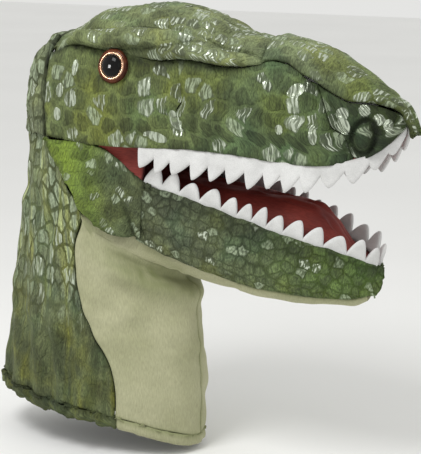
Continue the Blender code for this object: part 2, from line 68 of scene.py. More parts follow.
AIM = Vector((0.0925, 0, 0.1500))
CAMERA_AZIMUTH, CAMERA_ELEVATION, CAMERA_DISTANCE = math.radians(28), math.radians(12), 1.2
towards_camera = Vector((
    math.sin(CAMERA_AZIMUTH) * math.cos(CAMERA_ELEVATION),
    -math.cos(CAMERA_AZIMUTH) * math.cos(CAMERA_ELEVATION),
    math.sin(CAMERA_ELEVATION),
))
camera_data = bpy.data.cameras.new("camera")
camera_data.lens = 126.9
camera_data.sensor_width = 36
camera = bpy.data.objects.new("camera", camera_data)
camera.location = AIM + CAMERA_DISTANCE * towards_camera
camera.rotation_euler = towards_camera.to_track_quat("Z", "Y").to_euler()
scene.collection.objects.link(camera)
scene.camera = camera

world = bpy.data.worlds.new("room")
scene.world = world
world.use_nodes = True
room = world.node_tree.nodes["Background"]
room.inputs["Color"].default_value = (1.0, 1.0, 0.98, 1)
room.inputs["Strength"].default_value = 0.78

NEAR_EYE = Vector((0.0390, -0.0480, 0.2726))
for name, at, target, size, power in (
    ("window", (-0.05, -0.60, 1.00), AIM, 0.4, 6.0),
    ("fill", (0.80, -0.55, 0.55), AIM, 0.6, 0.5),
    ("eye_light", (-0.398, -0.825, 0.393), NEAR_EYE, 0.22, 9.0),
):
    lamp_data = bpy.data.lights.new(name, "AREA")
    lamp_data.energy = power
    lamp_data.size = size
    lamp = bpy.data.objects.new(name, lamp_data)
    lamp.location = at
    lamp.rotation_euler = (Vector(at) - target).to_track_quat("Z", "Y").to_euler()
    scene.collection.objects.link(lamp)
eyes_only = bpy.data.collections.new("lit by the eye light")
lamp.light_linking.receiver_collection = eyes_only

bm = bmesh.new()
bmesh.ops.create_grid(bm, x_segments=1, y_segments=1, size=4)
bmesh.ops.translate(bm, verts=bm.verts, vec=(0, 0, cad_box[0][2] - 0.004))
floor_mesh = bpy.data.meshes.new("floor")
bm.to_mesh(floor_mesh)
bm.free()
floor = bpy.data.objects.new("floor", floor_mesh)
scene.collection.objects.link(floor)


def shading(name, roughness=0.8, sheen=0.0, sheen_roughness=0.5, sheen_tint=(1, 1, 1), ior=1.5,
            metallic=0.0):
    """A new material, a function that adds a node to it, and one that feeds its shader."""
    made = bpy.data.materials.new(name)
    made.use_nodes = True
    tree = made.node_tree
    shader = tree.nodes["Principled BSDF"]
    shader.inputs["Roughness"].default_value = roughness
    shader.inputs["Sheen Weight"].default_value = sheen
    shader.inputs["Sheen Roughness"].default_value = sheen_roughness
    shader.inputs["Sheen Tint"].default_value = (*sheen_tint, 1)
    shader.inputs["IOR"].default_value = ior
    shader.inputs["Metallic"].default_value = metallic

    def add(kind, inputs=(), **settings):
        node = tree.nodes.new("ShaderNode" + kind)
        ramp = settings.pop("ramp", None)
        for key, value in settings.items():
            setattr(node, key, value)
        if ramp:
            stops = node.color_ramp.elements
            while len(stops) < len(ramp):
                stops.new(0.5)
            for stop, (at, colour) in zip(stops, ramp):
                stop.position = at
                stop.color = (*colour, 1) if hasattr(colour, "__len__") else (colour,) * 3 + (1,)
        for key, value in dict(inputs).items():
            if isinstance(value, bpy.types.NodeSocket):
                tree.links.new(value, node.inputs[key])
            else:
                node.inputs[key].default_value = value
        return node.outputs

    def feed(**inputs):
        for key, value in inputs.items():
            tree.links.new(value, shader.inputs[key.replace("_", " ")])

    return made, add, feed


def noise(add, scale, detail=2.0, vector=None, stretch=None, turn=0.0, distortion=0.0, on_cloth=False):
    """Noise through the object's space, or along its cloth or vector; stretch and turn lay it out."""
    if vector is None:
        vector = add("UVMap", uv_map="cloth")["UV"] if on_cloth else add("TexCoord")["Object"]
    if stretch:
        vector = add("Mapping", {"Vector": vector, "Rotation": (0, 0, turn), "Scale": stretch})[0]
    settings = {"Vector": vector, "Scale": scale, "Detail": detail, "Distortion": distortion}
    return add("TexNoise", settings)["Fac"]


def soft_material(name, ramp, cloud, grain=None, fleck=None, shade_and_stain_tint=None, raised=None, **surface):
    """A clouded colour, flecked and raised by a finer grain, and darkened by the cloth's shade attribute:
    painted shade in seams, creases and hollows, and on the throat also a real stain.

    cloud and grain are settings for noise(), fleck the grain's darkest and lightest factor, then
    the colour and strength of the painted shade (on the throat also of the stain), and raised the
    bump's strength and distance.
    """
    made, add, feed = shading(name, **surface)
    cloud = noise(add, **cloud)
    grain = noise(add, **grain) if grain else cloud
    colour = add("ValToRGB", {0: cloud}, ramp=ramp)[0]
    if fleck:
        factor = add("MapRange", {0: grain, 1: 0.30, 2: 0.70, 3: fleck[0], 4: fleck[1]})[0]
        colour = add("MixRGB", {0: 1.0, 1: colour, 2: factor}, blend_type="MULTIPLY")[0]
    # painted shade in seams, creases and hollows, and on the throat a real stain, mixed into the colour
    if shade_and_stain_tint:
        shade_and_stain = add("Attribute", attribute_name="shade_and_stain")["Fac"]
        shade_and_stain = add("Math", {0: shade_and_stain, 1: shade_and_stain_tint[1]}, operation="MULTIPLY")[0]
        colour = add("MixRGB", {0: shade_and_stain, 1: colour, 2: (*shade_and_stain_tint[0], 1)})[0]
    feed(Base_Color=colour)
    if raised:
        feed(Normal=add("Bump", {"Height": grain, "Strength": raised[0], "Distance": raised[1]})[0])
    return made


floor_mesh.materials.append(soft_material(
    "pale floor", [(0.3, (0.86, 0.86, 0.85)), (0.7, (0.89, 0.89, 0.88))], dict(scale=3.0), roughness=0.9))

# ---------------------------------------------------------------- Sleeve
# The long lower neck that hides the forearm: printed short-pile plush round the back, pale plush
# at the throat, joined by curved seams. Its back hangs in soft upright folds.
RIGHT, LEFT = -1, 1
SIDES = ((RIGHT, "right"), (LEFT, "left"))
PLUSH = 0.0018
TRIALS = 25
# painted shade along the seams where the cloth turns under: its width and strength
SEAM_SHADE_WIDTH, SEAM_SHADE_STRENGTH = 0.0014, 0.85
PUCKER_SIZE, PUCKER_WIDTH = 0.0065, 0.006
TURN_HEIGHT = 0.070
HEM_HEIGHT = 0.011


def curve(*knots):
    """A smooth line through (x, value) knots, as a function of x."""
    xs, ys = np.array(knots, float).T
    last = len(xs) - 1
    low, high = np.maximum(np.arange(last + 1) - 1, 0), np.minimum(np.arange(last + 1) + 1, last)
    slopes = (ys[high] - ys[low]) / (xs[high] - xs[low])

    def value(x):
        x = np.clip(x, xs[0], xs[-1])
        i = np.clip(np.searchsorted(xs, x, side="right") - 1, 0, last - 1)
        span = xs[i + 1] - xs[i]
        t = (x - xs[i]) / span
        return (
            ys[i] * (1 + 2 * t) * (1 - t) ** 2
            + slopes[i] * span * t * (1 - t) ** 2
            + ys[i + 1] * t * t * (3 - 2 * t)
            + slopes[i + 1] * span * t * t * (t - 1)
        )

    return value


def smooth(low, high, x):
    """0 on low's side, 1 on high's, and a smooth step between."""
    t = np.clip((x - low) / (high - low), 0, 1)
    return t * t * (3 - 2 * t)


def bump(x, middle, width):
    """A soft hill of height 1 round middle."""
    return np.exp(-(((x - middle) / width) ** 2))


def ripple(points, size, seed):
    """Soft uneven waves, about -1 to 1, on points in space. size is the distance between hills."""
    chance = np.random.default_rng(seed)
    total = np.zeros(len(points))
    warp = np.zeros_like(points)
    for _ in range(3):
        way = chance.normal(size=3)
        way *= 2 * math.pi / (1.9 * size * np.linalg.norm(way))
        warp += np.outer(np.sin(points @ way + chance.uniform(0, 6.3)), chance.normal(size=3)) * size * 0.22
    for _ in range(6):
        way = chance.normal(size=3)
        way *= 2 * math.pi / (size * chance.uniform(0.75, 1.4) * np.linalg.norm(way))
        total += np.sin((points + warp) @ way + chance.uniform(0, 6.3))
    return total / 3.2


def slowing(first, last, u):
    """From first to last as u goes from 0 to 1, slower and slower."""
    return first + (last - first) * np.sin(u * math.pi / 2)


def stack(x, y, z):
    return np.stack(np.broadcast_arrays(x, y, z), axis=-1).astype(float)


def flat_grid(across, along):
    """A new grid of faces, and each vertex's place on it as (u, v) from 0 to 1."""
    bm = bmesh.new()
    bmesh.ops.create_grid(bm, x_segments=across, y_segments=along, size=0.5)
    return bm, np.array([vertex.co[:2] for vertex in bm.verts]) + 0.5


def run_length(points, axis):
    """Distance along each row of a lattice of points, from its first edge."""
    steps = np.linalg.norm(np.diff(points, axis=axis), axis=-1)
    pad = [(0, 0), (0, 0)]
    pad[axis] = (1, 0)
    return np.cumsum(np.pad(steps, pad), axis=axis)


def sewn_panel(name, shape, inside, spacing=0.0013, tucks=(1, 1, 1, 1), tuck=0.0020, reach=0.0022,
               wall=PLUSH, crowd=0.55, wrinkle=0.0, wrinkle_size=0.012, pucker=0.0, seed=1,
               dark=None, foil=None, cloth=None, lift=None):
    """A sheet of cloth whose outer face is shape(u, v), turned under at its seams.

    tucks says how deep each edge goes under: u = 0, u = 1, v = 0, v = 1. lift(points, u, v) raises
    the face, dark gives the painted shade in its creases and seams (on the throat also a stain),
    and foil its solid foil, all per point.
    """
    trial = np.linspace(0, 1, TRIALS)
    across, along = np.meshgrid(trial, trial, indexing="ij")
    coarse = shape(across.ravel(), along.ravel()).reshape(TRIALS, TRIALS, 3)
    counts = [max(8, int(round(run_length(coarse, axis).max() / spacing))) for axis in (0, 1)]
    bm, uv = flat_grid(*counts)
    order = np.lexsort((uv[:, 1].round(6), uv[:, 0].round(6)))
    rows = (counts[0] + 1, counts[1] + 1)
    u, v = (uv[order] - crowd * np.sin(2 * math.pi * uv[order]) / (2 * math.pi)).T
    points = shape(u, v)
    # the normals are taken again after the lift, so that the tucks follow the lifted face
    for turn in range(2):
        grid = points.reshape(*rows, 3)
        normals = np.cross(np.gradient(grid, axis=0), np.gradient(grid, axis=1)).reshape(-1, 3)
        normals /= np.maximum(np.linalg.norm(normals, axis=1, keepdims=True), 1e-12)
        if ((points - np.array(inside)) * normals).sum() < 0:
            normals = -normals
        if turn == 0 and lift is not None:
            points = points + normals * lift(points, u, v)[:, None]
    s, t = run_length(grid, 0), run_length(grid, 1)
    edges = (s, s[-1:] - s, t, t[:, -1:] - t)
    # beside the tucks, painted shade is built along each edge that turns under
    under, rim, seam_shade = np.zeros(rows), np.full(rows, 1.0), np.zeros(rows)
    for depth, distance in zip(tucks, edges):
        if depth:
            near = np.clip(1 - distance / reach, 0, 1)
            under = np.maximum(under, depth * (1 - np.sqrt(np.clip(1 - near**2, 0, 1))))
            rim = np.minimum(rim, distance)
            seam_shade = np.maximum(seam_shade, min(depth, 1) * np.exp(-distance / SEAM_SHADE_WIDTH))
    rise = -tuck * under.ravel()
    if wrinkle:
        rise = rise + wrinkle * ripple(points, wrinkle_size, seed)
    if pucker:
        along_seam = ripple(points, PUCKER_SIZE, seed + 50) * smooth(0, 0.002, rim.ravel())
        rise = rise + pucker * along_seam * np.exp(-rim.ravel() / PUCKER_WIDTH)
    placed = points + normals * rise[:, None]
    if cloth is None:
        flat = np.stack((s - s.mean(), t), axis=-1).reshape(-1, 2)
    else:
        flat = cloth(points, u, v)
    # painted shade at the seams, then the piece's own painted shade (on the throat also a stain)
    shade_and_stain = seam_shade.ravel() * SEAM_SHADE_STRENGTH
    if dark is not None:
        shade_and_stain = np.maximum(shade_and_stain, dark(points, u, v))
    shine = np.zeros(len(points)) if foil is None else foil(points, u, v)
    bm.verts.ensure_lookup_table()
    layer = bm.loops.layers.uv.new("cloth")
    shade_and_stain_layer = bm.verts.layers.float.new("shade_and_stain")
    foil_layer = bm.verts.layers.float.new("foil")
    flat_of = np.empty_like(flat)
    for rank, index in enumerate(order):
        vertex = bm.verts[index]
        vertex.co = placed[rank]
        vertex[shade_and_stain_layer] = float(shade_and_stain[rank])
        vertex[foil_layer] = float(shine[rank])
        flat_of[index] = flat[rank]
    for face in bm.faces:
        for loop in face.loops:
            loop[layer].uv = flat_of[loop.vert.index]
    bmesh.ops.remove_doubles(bm, verts=bm.verts, dist=1e-6)
    bmesh.ops.recalc_face_normals(bm, faces=bm.faces)
    middle = Vector(inside)
    if sum((f.calc_center_median() - middle).dot(f.normal) * f.calc_area() for f in bm.faces) < 0:
        bmesh.ops.reverse_faces(bm, faces=bm.faces)
    for edge in bm.edges:
        edge.smooth = not edge.is_boundary
    return finished(name, bm, wall)


def finished(name, bm, wall=0.0, material=None):
    """The mesh made an object at the origin, with its cloth's thickness inwards."""
    mesh = bpy.data.meshes.new(name)
    bm.to_mesh(mesh)
    bm.free()
    mesh.shade_smooth()
    piece = bpy.data.objects.new(name, mesh)
    scene.collection.objects.link(piece)
    if material:
        mesh.materials.append(material)
    if wall:
        solid = piece.modifiers.new("cloth", "SOLIDIFY")
        solid.thickness = wall
        solid.offset = -1
        solid.use_even_offset = False
    return piece


NARROWEST, LEAST_COVER = 0.012, 0.31


def cloth_piece(piece, material, slot, body=None, bend=None, held="stretched"):
    """Gives a sheet of cloth its material, hides the CAD part it stands for, and attaches it to the
    body it moves with, or bakes it in place when a bend is given.
    """
    piece.data.materials.append(material)
    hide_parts(piece.name.removeprefix("cloth_"))
    if bend:
        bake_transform(piece)
    else:
        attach(piece, body)
    corners = np.array([loop.uv[:] for loop in piece.data.uv_layers["cloth"].data])
    width, length = (round(float(run), 3) for run in np.maximum(np.ptp(corners, axis=0), NARROWEST))
    area = sum(face.area for face in piece.data.polygons)
    area = min(max(area, LEAST_COVER * width * length), width * length)


NECK_BACK = curve((-0.020, -0.096), (0.010, -0.092), (0.053, -0.085), (0.108, -0.079),
                  (0.159, -0.068), (0.195, -0.060), (0.217, -0.0575))
NECK_FRONT = curve((-0.020, 0.083), (0.022, 0.085), (0.050, 0.084), (0.077, 0.081),
                   (0.114, 0.075), (0.155, 0.062), (0.217, 0.040))
NECK_HALF = curve((-0.020, 0.050), (0.050, 0.048), (0.108, 0.0455), (0.155, 0.046), (0.217, 0.047))
HEM_LINE = curve((-0.093, 0.0085), (-0.055, 0.0050), (-0.016, 0.0005), (0.036, -0.0060),
                 (0.066, -0.0150), (0.086, -0.0240))
THROAT_EDGE = curve((-0.020, 64), (0.038, 68), (0.076, 82), (0.098, 88), (0.155, 89))


def neck_point(side, height, degrees, inset=0.0):
    """A point round the neck's oval. Angle 0 is the front, 180 the back."""
    back, front = NECK_BACK(height) + inset, NECK_FRONT(height) - inset
    angle = np.radians(degrees)
    x = (front + back) / 2 + (front - back) / 2 * np.cos(angle)
    return stack(x, side * (NECK_HALF(height) - inset) * np.sin(angle), height)


def hem_height(degrees):
    """Height of the sleeve's lower edge round the neck, found in three steps from HEM_LINE."""
    height = np.zeros_like(degrees)
    for _ in range(3):
        height = HEM_LINE(neck_point(RIGHT, height, degrees)[..., 0])
    return height


COLLAR_CORNER, COLLAR_FOOT, COLLAR_TOP = 0.018, 0.149, 0.216


def collar_height(degrees):
    """Top of the neck's cloth: under the jaw at the front, up to the cheeks at the back."""
    x = 0.001 + 0.072 * np.cos(np.radians(degrees))
    front = COLLAR_FOOT - 0.5 * (x - COLLAR_CORNER)
    climb = COLLAR_FOOT + (COLLAR_CORNER - x) / (2 * COLLAR_CORNER) * (COLLAR_TOP - COLLAR_FOOT)
    return np.where(x > COLLAR_CORNER, front, np.where(x > -COLLAR_CORNER, climb, COLLAR_TOP))


def neck_folds(points, u, v):
    """Upright folds low down at the back, rounder bunches higher up, and a slack throat."""
    x, y, z = points.T
    angle = np.degrees(np.arctan2(np.abs(y), x + 0.004))
    back = smooth(78, 100, angle)
    low = 1 - smooth(0.05, 0.13, z)
    upright = np.sin(np.radians(angle) * 15 + 14 * z * np.sign(y + 1e-9) + 0.9 * np.sin(z * 55))
    folds = 0.0023 * back * (0.25 + 0.75 * low) * upright
    folds += 0.0018 * back * smooth(0.08, 0.14, z) * ripple(points * (1, 1, 0.45), 0.020, 4)
    front = 1 - smooth(70, 84, angle)
    folds += front * 0.0013 * ripple(points * (1, 1, 1.3), 0.050, 8)
    # the throat's cloth sags in one deep fold under the jaw
    line = 0.119 - 0.45 * (x - 0.055)
    sag = 0.0050 * bump(z, line - 0.011, 0.008) - 0.0048 * bump(z, line, 0.0042)
    folds += front * smooth(30, 60, 95 - angle) * sag
    return folds + 0.0009 * ripple(points, 0.034, 2)


NECK_RADIUS, NECK_OVAL, NECK_MIDDLE = 0.082, 1.65, -0.006


def neck_cloth(points, u, v):
    """How the neck's cloth lies flat: distance round it, and height. The far side is further on."""
    x, y, z = points.T
    angle = np.arctan2(np.abs(y) * NECK_OVAL, x - NECK_MIDDLE)
    return np.stack((angle * NECK_RADIUS + 0.3 * (y > 0), z), axis=-1)


PRINT_DEPTH = 0.66


def scale_plush(name, cell, colours, axis="X", span=(-0.10, 0.25), cell_gain=0.72, band_gain=1.40,
                grey=0.0, pale=0.15, edge=(0.05, 0.16), rounding=(0.48, 0.66), foil_share=0.25,
                hatch=(640, 85), lean=0.16, mottle=0.5, streaky=0.0, fade=(-1.0, -0.9)):
    """Short-pile plush printed with scales, some of them stamped with crinkled silver foil."""
    made, add, feed = shading(name, sheen=0.12, sheen_roughness=0.45, sheen_tint=(0.42, 0.50, 0.25),
                              ior=1.35)
    flat = add("UVMap", uv_map="cloth")["UV"]
    where = add("TexCoord")["Object"]
    shake = add("TexNoise", {"Vector": flat, "Scale": 130.0, "Detail": 2.0})["Color"]
    shake = add("VectorMath", {0: shake, 1: (0.5, 0.5, 0.5)}, operation="SUBTRACT")[0]
    shake = add("VectorMath", {0: shake, 3: 0.0055}, operation="SCALE")[0]
    moved = add("VectorMath", {0: flat, 1: shake}, operation="ADD")[0]
    scaled = add("Mapping", {"Vector": moved, "Scale": (1 / cell[0], 1 / cell[1], 1)})[0]
    rim = add("TexVoronoi", {"Vector": scaled, "Scale": 1.0, "Randomness": 0.72},
              voronoi_dimensions="2D", feature="DISTANCE_TO_EDGE")["Distance"]
    cells = add("TexVoronoi", {"Vector": scaled, "Scale": 1.0, "Randomness": 0.72},
                voronoi_dimensions="2D", feature="F1")
    chance = add("SeparateColor", {0: cells["Color"]})

    def step(value, low, high, out_low=0.0, out_high=1.0):
        return add("MapRange", {0: value, 1: low, 2: high, 3: out_low, 4: out_high},
                   interpolation_type="SMOOTHSTEP")[0]

    def times(a, b, operation="MULTIPLY"):
        return add("Math", {0: a, 1: b}, operation=operation)[0]

    def tint(a, b, factor, blend_type="MIX"):
        return add("MixRGB", {0: factor, 1: a, 2: b}, blend_type=blend_type)[0]

    # the scales with the bands between them, and how clearly they show at each height
    patch = times(step(rim, *edge), step(cells["Distance"], *rounding, 1.0, 0.0))
    clarity = step(add("SeparateXYZ", {0: where})["Z"], *fade)
    place = add("SeparateXYZ", {0: where})[axis]
    place = add("MapRange", {0: place, 1: span[0], 2: span[1]})[0]
    colours = [(at, tuple(PRINT_DEPTH * part for part in colour)) for at, colour in colours]
    base = add("ValToRGB", {0: place}, ramp=colours)[0]
    # the ground's colour along the piece, worn lighter, warmer and cooler in patches
    cloud = noise(add, 30.0, 3.0, where)
    shade = noise(add, 52.0, 2.0, where, distortion=0.4)
    base = tint(base, step(shade, 0.36, 0.64, 0.74, 1.24), 1.0, "MULTIPLY")
    base = tint(base, (0.99, 1.0, 0.80, 1), 1.0, "MULTIPLY")
    warm = tint(base, (1.22, 1.12, 0.66, 1), step(cloud, 0.50, 0.68, 0.0, mottle), "MULTIPLY")
    base = tint(warm, (0.76, 0.90, 0.96, 1), step(cloud, 0.34, 0.48, mottle, 0.0), "MULTIPLY")
    tone = step(chance["Green"], 0.0, 1.0, cell_gain * 0.80, cell_gain * 1.22)
    in_cell = tint(base, tone, 1.0, "MULTIPLY")
    if grey:
        in_cell = tint(in_cell, (0.175, 0.200, 0.140, 1), grey)
    between_cells = tint(base, (band_gain,) * 3 + (1,), 1.0, "MULTIPLY")
    # fine slanting threads of foil, and the brushed pile
    crinkle = noise(add, 1.0, 1.0, flat, (*hatch, 1), lean)
    threads = step(crinkle, 0.50, 0.60)
    silvery = times(step(chance["Blue"], 0.98 - pale, 1 - pale), step(crinkle, 0.38, 0.60, 0.25, 0.75))
    in_cell = tint(in_cell, (0.290, 0.345, 0.235, 1), silvery)
    print_colour = tint(between_cells, in_cell, times(patch, clarity))
    pile = noise(add, 1.0, 3.0, flat, (1500, 420, 1))
    print_colour = tint(print_colour, step(pile, 0.30, 0.70, 0.66, 1.32), 1.0, "MULTIPLY")
    # painted shade in the crinkles' hollows and painted light on their crests, matching their bump
    print_colour = tint(print_colour, step(crinkle, 0.36, 0.58, 0.66, 1.22), times(patch, 0.75), "MULTIPLY")
    if streaky:
        stripe = noise(add, 1.0, 2.0, flat, (95, 11, 1), distortion=0.4)
        for colour, low, high in (((1.55, 1.45, 0.80, 1), 0.52, 0.66), ((0.55, 0.62, 0.55, 1), 0.48, 0.36)):
            print_colour = tint(print_colour, colour, step(stripe, low, high, 0.0, streaky), "MULTIPLY")
    # painted shade in seams, creases and hollows darkens the print and hides the foil there
    shade_and_stain = add("Attribute", attribute_name="shade_and_stain")["Fac"]
    print_colour = tint(print_colour, (0.13, 0.155, 0.105, 1), times(shade_and_stain, 0.88), "MULTIPLY")
    # which scales are stamped, and the solid spots that the piece carries
    picked = step(chance["Red"], 1 - foil_share - 0.02, 1 - foil_share)
    stamped = times(times(picked, patch), times(threads, 0.06, "MAXIMUM"))
    solid = add("Attribute", attribute_name="foil")["Fac"]
    solid = times(step(solid, 0.35, 0.65), step(crinkle, 0.40, 0.54, 0.22, 0.95))
    foil = times(times(stamped, clarity), solid, "MAXIMUM")
    foil = times(foil, step(shade_and_stain, 0.25, 0.8, 1.0, 0.0))
    feed(
        Base_Color=tint(print_colour, (0.56, 0.62, 0.50, 1), foil),
        Metallic=times(foil, 0.85),
        Roughness=step(foil, 0.0, 1.0, 0.74, 0.30),
    )
    height = times(times(patch, 0.9), times(pile, 0.30), "ADD")
    height = times(height, times(crinkle, step(foil, 0.0, 1.0, 0.9, 2.2)), "ADD")
    feed(Normal=add("Bump", {"Height": height, "Strength": 0.75, "Distance": 0.0009})[0])
    return made


NECK_PRINT = scale_plush(
    "neck plush", (0.0074, 0.0150),
    [(0.0, (0.170, 0.202, 0.108)), (0.35, (0.180, 0.210, 0.115)), (0.6, (0.175, 0.208, 0.108)),
     (1.0, (0.185, 0.218, 0.120))],
    axis="Z", span=(-0.02, 0.30), cell_gain=1.30, band_gain=0.74, grey=0.40, edge=(0.05, 0.13),
    foil_share=0.12, pale=0.45, mottle=0.8, streaky=0.65, fade=(0.055, 0.125))


# its greenish tint is a real stain in the fold under the jaw and painted shade along the seams
THROAT = soft_material(
    "throat plush", [(0.34, (0.330, 0.332, 0.195)), (0.62, (0.395, 0.392, 0.245))], dict(scale=26.0),
    dict(on_cloth=True, scale=1.0, detail=3.0, stretch=(1150, 240, 1), distortion=0.6),
    fleck=(0.84, 1.10), shade_and_stain_tint=((0.135, 0.165, 0.050), 0.75), raised=(0.5, 0.0006),
    roughness=0.9, sheen=0.25, sheen_roughness=0.4, sheen_tint=(0.8, 0.8, 0.55))


def neck_length(part, inside, seam, foot, top, ends, dark, **motion):
    """The printed back and the pale throat, on both sides, of one length of the neck."""
    for side, word in SIDES:
        for cloth, material, slot, seams in (
            ("skin", NECK_PRINT, "scale_plush", (0.8, 0.35)),
            ("throat", THROAT, "throat_plush", (0.7, 0.8)),
        ):
            front = cloth == "throat"

            def shape(u, v):
                edge = seam(v)
                angle = 0.1 + (edge - 0.3) * u if front else edge + 0.2 + (179.7 - edge) * u
                low = foot(angle)
                return neck_point(side, low + (top(angle, front) - low) * v, angle)

            # painted shade along the seams, and on the throat a real stain
            def seam_shade_and_stain(points, u, v):
                return dark(points, u if front else 1 - u, front)

            piece = sewn_panel(f"cloth_{part}_{cloth}_{word}", shape, inside, lift=neck_folds,
                               cloth=neck_cloth, tucks=seams + ends, dark=seam_shade_and_stain)
            cloth_piece(piece, material, slot, **motion)


SLEEVE_CORE = (0, 0, 0.05)
SLEEVE_BEND = ("sleeve", "wrist", (0, 0, 0.012), (0, 0, TURN_HEIGHT))


def sleeve_seam(v):
    return THROAT_EDGE(v * TURN_HEIGHT)


def sleeve_foot(degrees):
    return hem_height(degrees) + HEM_HEIGHT - 0.002


# painted shade along the seams between the printed back and the pale throat
def sleeve_seam_shade(points, from_seam, front):
    return (0.28 if front else 0.7) * bump(from_seam, 0, 0.012)


neck_length("sleeve", SLEEVE_CORE, sleeve_seam, sleeve_foot, lambda degrees, front: TURN_HEIGHT,
            (1, 0), sleeve_seam_shade, bend=SLEEVE_BEND, held="hung")

# ---------------------------------------------------------------- Hem
# The sleeve's edge, turned in on itself and stitched down as a soft rolled casing. The green
# back bunches into small lumps between stitches; the pale front lies smoother.
HEM_THICKNESS = 0.0055


def hem_roll(first, last, lumps):
    def shape(u, v):
        """u runs round the opening, v down the outside, under, and up the inside."""
        turn = first + (last - first) * u
        side = np.where(turn < 0, RIGHT, LEFT)
        foot = hem_height(np.abs(turn))
        round_it = math.pi * (v * 1.12 - 0.06)
        swell = 1 + lumps * np.sin(np.radians(turn) * 29 + 1.3 * np.sin(np.radians(turn) * 9))
        inset = HEM_THICKNESS / 2 * (1 - np.cos(round_it) * swell * 1.12)
        inset -= 0.0012 * np.sin(np.clip(round_it, 0, math.pi / 2) * 2)
        lift = (HEM_HEIGHT - 0.0015) * (1 - np.sin(np.clip(round_it, 0, math.pi)) ** 0.6)
        placed = neck_point(side, foot, np.abs(turn), inset)
        placed[:, 2] = foot + lift
        return placed
    return shape


for name, material, slot, first, last, lumps in (
    ("hem_throat", THROAT, "throat_plush", -63.4, 63.4, 0.05),
    ("hem_skin", NECK_PRINT, "scale_plush", 63.6, 296.4, 0.62),
):
    # painted shade where the roll meets the sleeve and inside the roll
    piece = sewn_panel(f"cloth_{name}", hem_roll(first, last, lumps), (0, 0, 0.10), spacing=0.0016,
                       tucks=(0.5, 0.5, 0, 0), wrinkle=0.0003 + lumps * 0.0022, wrinkle_size=0.008,
                       dark=lambda p, u, v: 0.75 * bump(v, 0.02, 0.07) + 0.35 * bump(v, 1, 0.2))
    cloth_piece(piece, material, slot, body="sleeve", held="folded")

# ---------------------------------------------------------------- Upper neck
# The neck above the twist, of the same two plushes, sewn at its top under the cheeks and the jaw.
NECK_CORE = (0, 0, 0.14)
NECK_BEND = ("wrist", "head", (0, 0, 0.074), (0, 0, 0.118))


def neck_seam(v):
    return THROAT_EDGE(TURN_HEIGHT + (0.152 - TURN_HEIGHT) * v) - 8 * smooth(0.50, 1.0, v)


def neck_top(degrees, front):
    return collar_height(degrees) + (0 if front else 0.001)


def neck_seam_shade_and_stain(points, from_seam, front):
    """Painted shade along the front and back seams and, on the throat, a rubbed stain in the fold under the
    jaw.
    """
    x, y, z = points.T
    ridge = (0.32 if front else 0.7) * bump(from_seam, 0, 0.012)
    line = 0.119 - 0.45 * (x - 0.055)
    rub = 0.80 * bump(z, line - 0.002, 0.013) * smooth(-0.01, 0.05, x)
    rub = rub * (0.8 + 0.25 * ripple(points, 0.016, 12)) if front else 0
    return np.clip(np.maximum(rub, ridge), 0, 1)


neck_length("neck", NECK_CORE, neck_seam, lambda degrees: TURN_HEIGHT, neck_top, (0, 0.5), neck_seam_shade_and_stain,
            bend=NECK_BEND)

# ---------------------------------------------------------------- Head skin
# Cheeks, muzzle sides and nose sides of the same printed plush, pulled over the padded head. The
# cheek and muzzle meet in a short upright dart, the muzzle and nose in a deep slanting one, and
# a dimpled ring is worked in the nose side for the nostril.
HEAD_HALF = curve((-0.022, 0.047), (0.020, 0.051), (0.060, 0.051), (0.100, 0.047), (0.140, 0.043),
                  (0.180, 0.038), (0.205, 0.032), (0.225, 0.024), (0.240, 0.014), (0.249, 0.005))
LIP = curve((-0.022, 0.217), (0.025, 0.214), (0.093, 0.216), (0.124, 0.215), (0.184, 0.210),
            (0.205, 0.211), (0.227, 0.217), (0.240, 0.226), (0.249, 0.237))
TOP = curve((-0.022, 0.294), (0.005, 0.308), (0.035, 0.315), (0.071, 0.316), (0.100, 0.309),
            (0.125, 0.299), (0.152, 0.295), (0.183, 0.288), (0.207, 0.277), (0.229, 0.262),
            (0.249, 0.246))
HEAD_BACK, HEAD_FRONT = -0.022, 0.249
HEAD_CORE = (0.08, 0, 0.24)
# seams of the head, in degrees round its section as functions of x, and in x as functions of degrees
BROW_FOOT = curve((-0.022, 46), (-0.002, 43.5), (0.024, 36.3), (0.046, 33.0), (0.056, 31.0), (0.075, 29.8),
                  (0.092, 32.5), (0.109, 35), (0.127, 38), (0.147, 43), (0.156, 50), (0.169, 50),
                  (0.182, 44), (0.191, 41), (0.202, 37), (0.213, 35), (0.222, 39), (0.229, 44),
                  (0.238, 48), (0.249, 52))
DART = curve((0, 0.0975), (2, 0.0965), (5, 0.0905), (9, 0.0890), (12.5, 0.0920), (18, 0.0912),
             (26, 0.0905), (36, 0.0900))
VALLEY = curve((0, 0.2195), (0.6, 0.2185), (5, 0.2150), (12, 0.2105), (14, 0.2050), (20, 0.2010),
               (27, 0.1980), (41, 0.1910), (50, 0.1880))
BROW_TOP = 51
HOOD_EDGE = curve((-0.022, 46), (-0.002, 43.5), (0.024, 36.3), (0.056, 36.2), (0.078, 37.6), (0.090, 42),
                  (0.100, 47), (0.112, 51), (0.150, 56))


def section(half, height, degrees):
    """(y, z) round a quarter of a squarish section, from its side to its top."""
    angle = np.radians(np.clip(degrees, 0, 90))
    return half * np.cos(angle) ** (2 / 3), height * np.sin(angle) ** (2 / 3)


def head_point(side, x, degrees, proud=0.0):
    """A point on the head at x: 0 degrees is the lip, 90 the top. proud lifts it off the form."""
    y, z = section(HEAD_HALF(x), TOP(x) - LIP(x), degrees)
    length = np.maximum(np.hypot(y, z), 1e-9)
    return stack(x, side * y * (1 + proud / length), LIP(x) + z * (1 + proud / length))


def near_side(points):
    here = points.copy()
    here[:, 1] = -np.abs(here[:, 1])
    return here


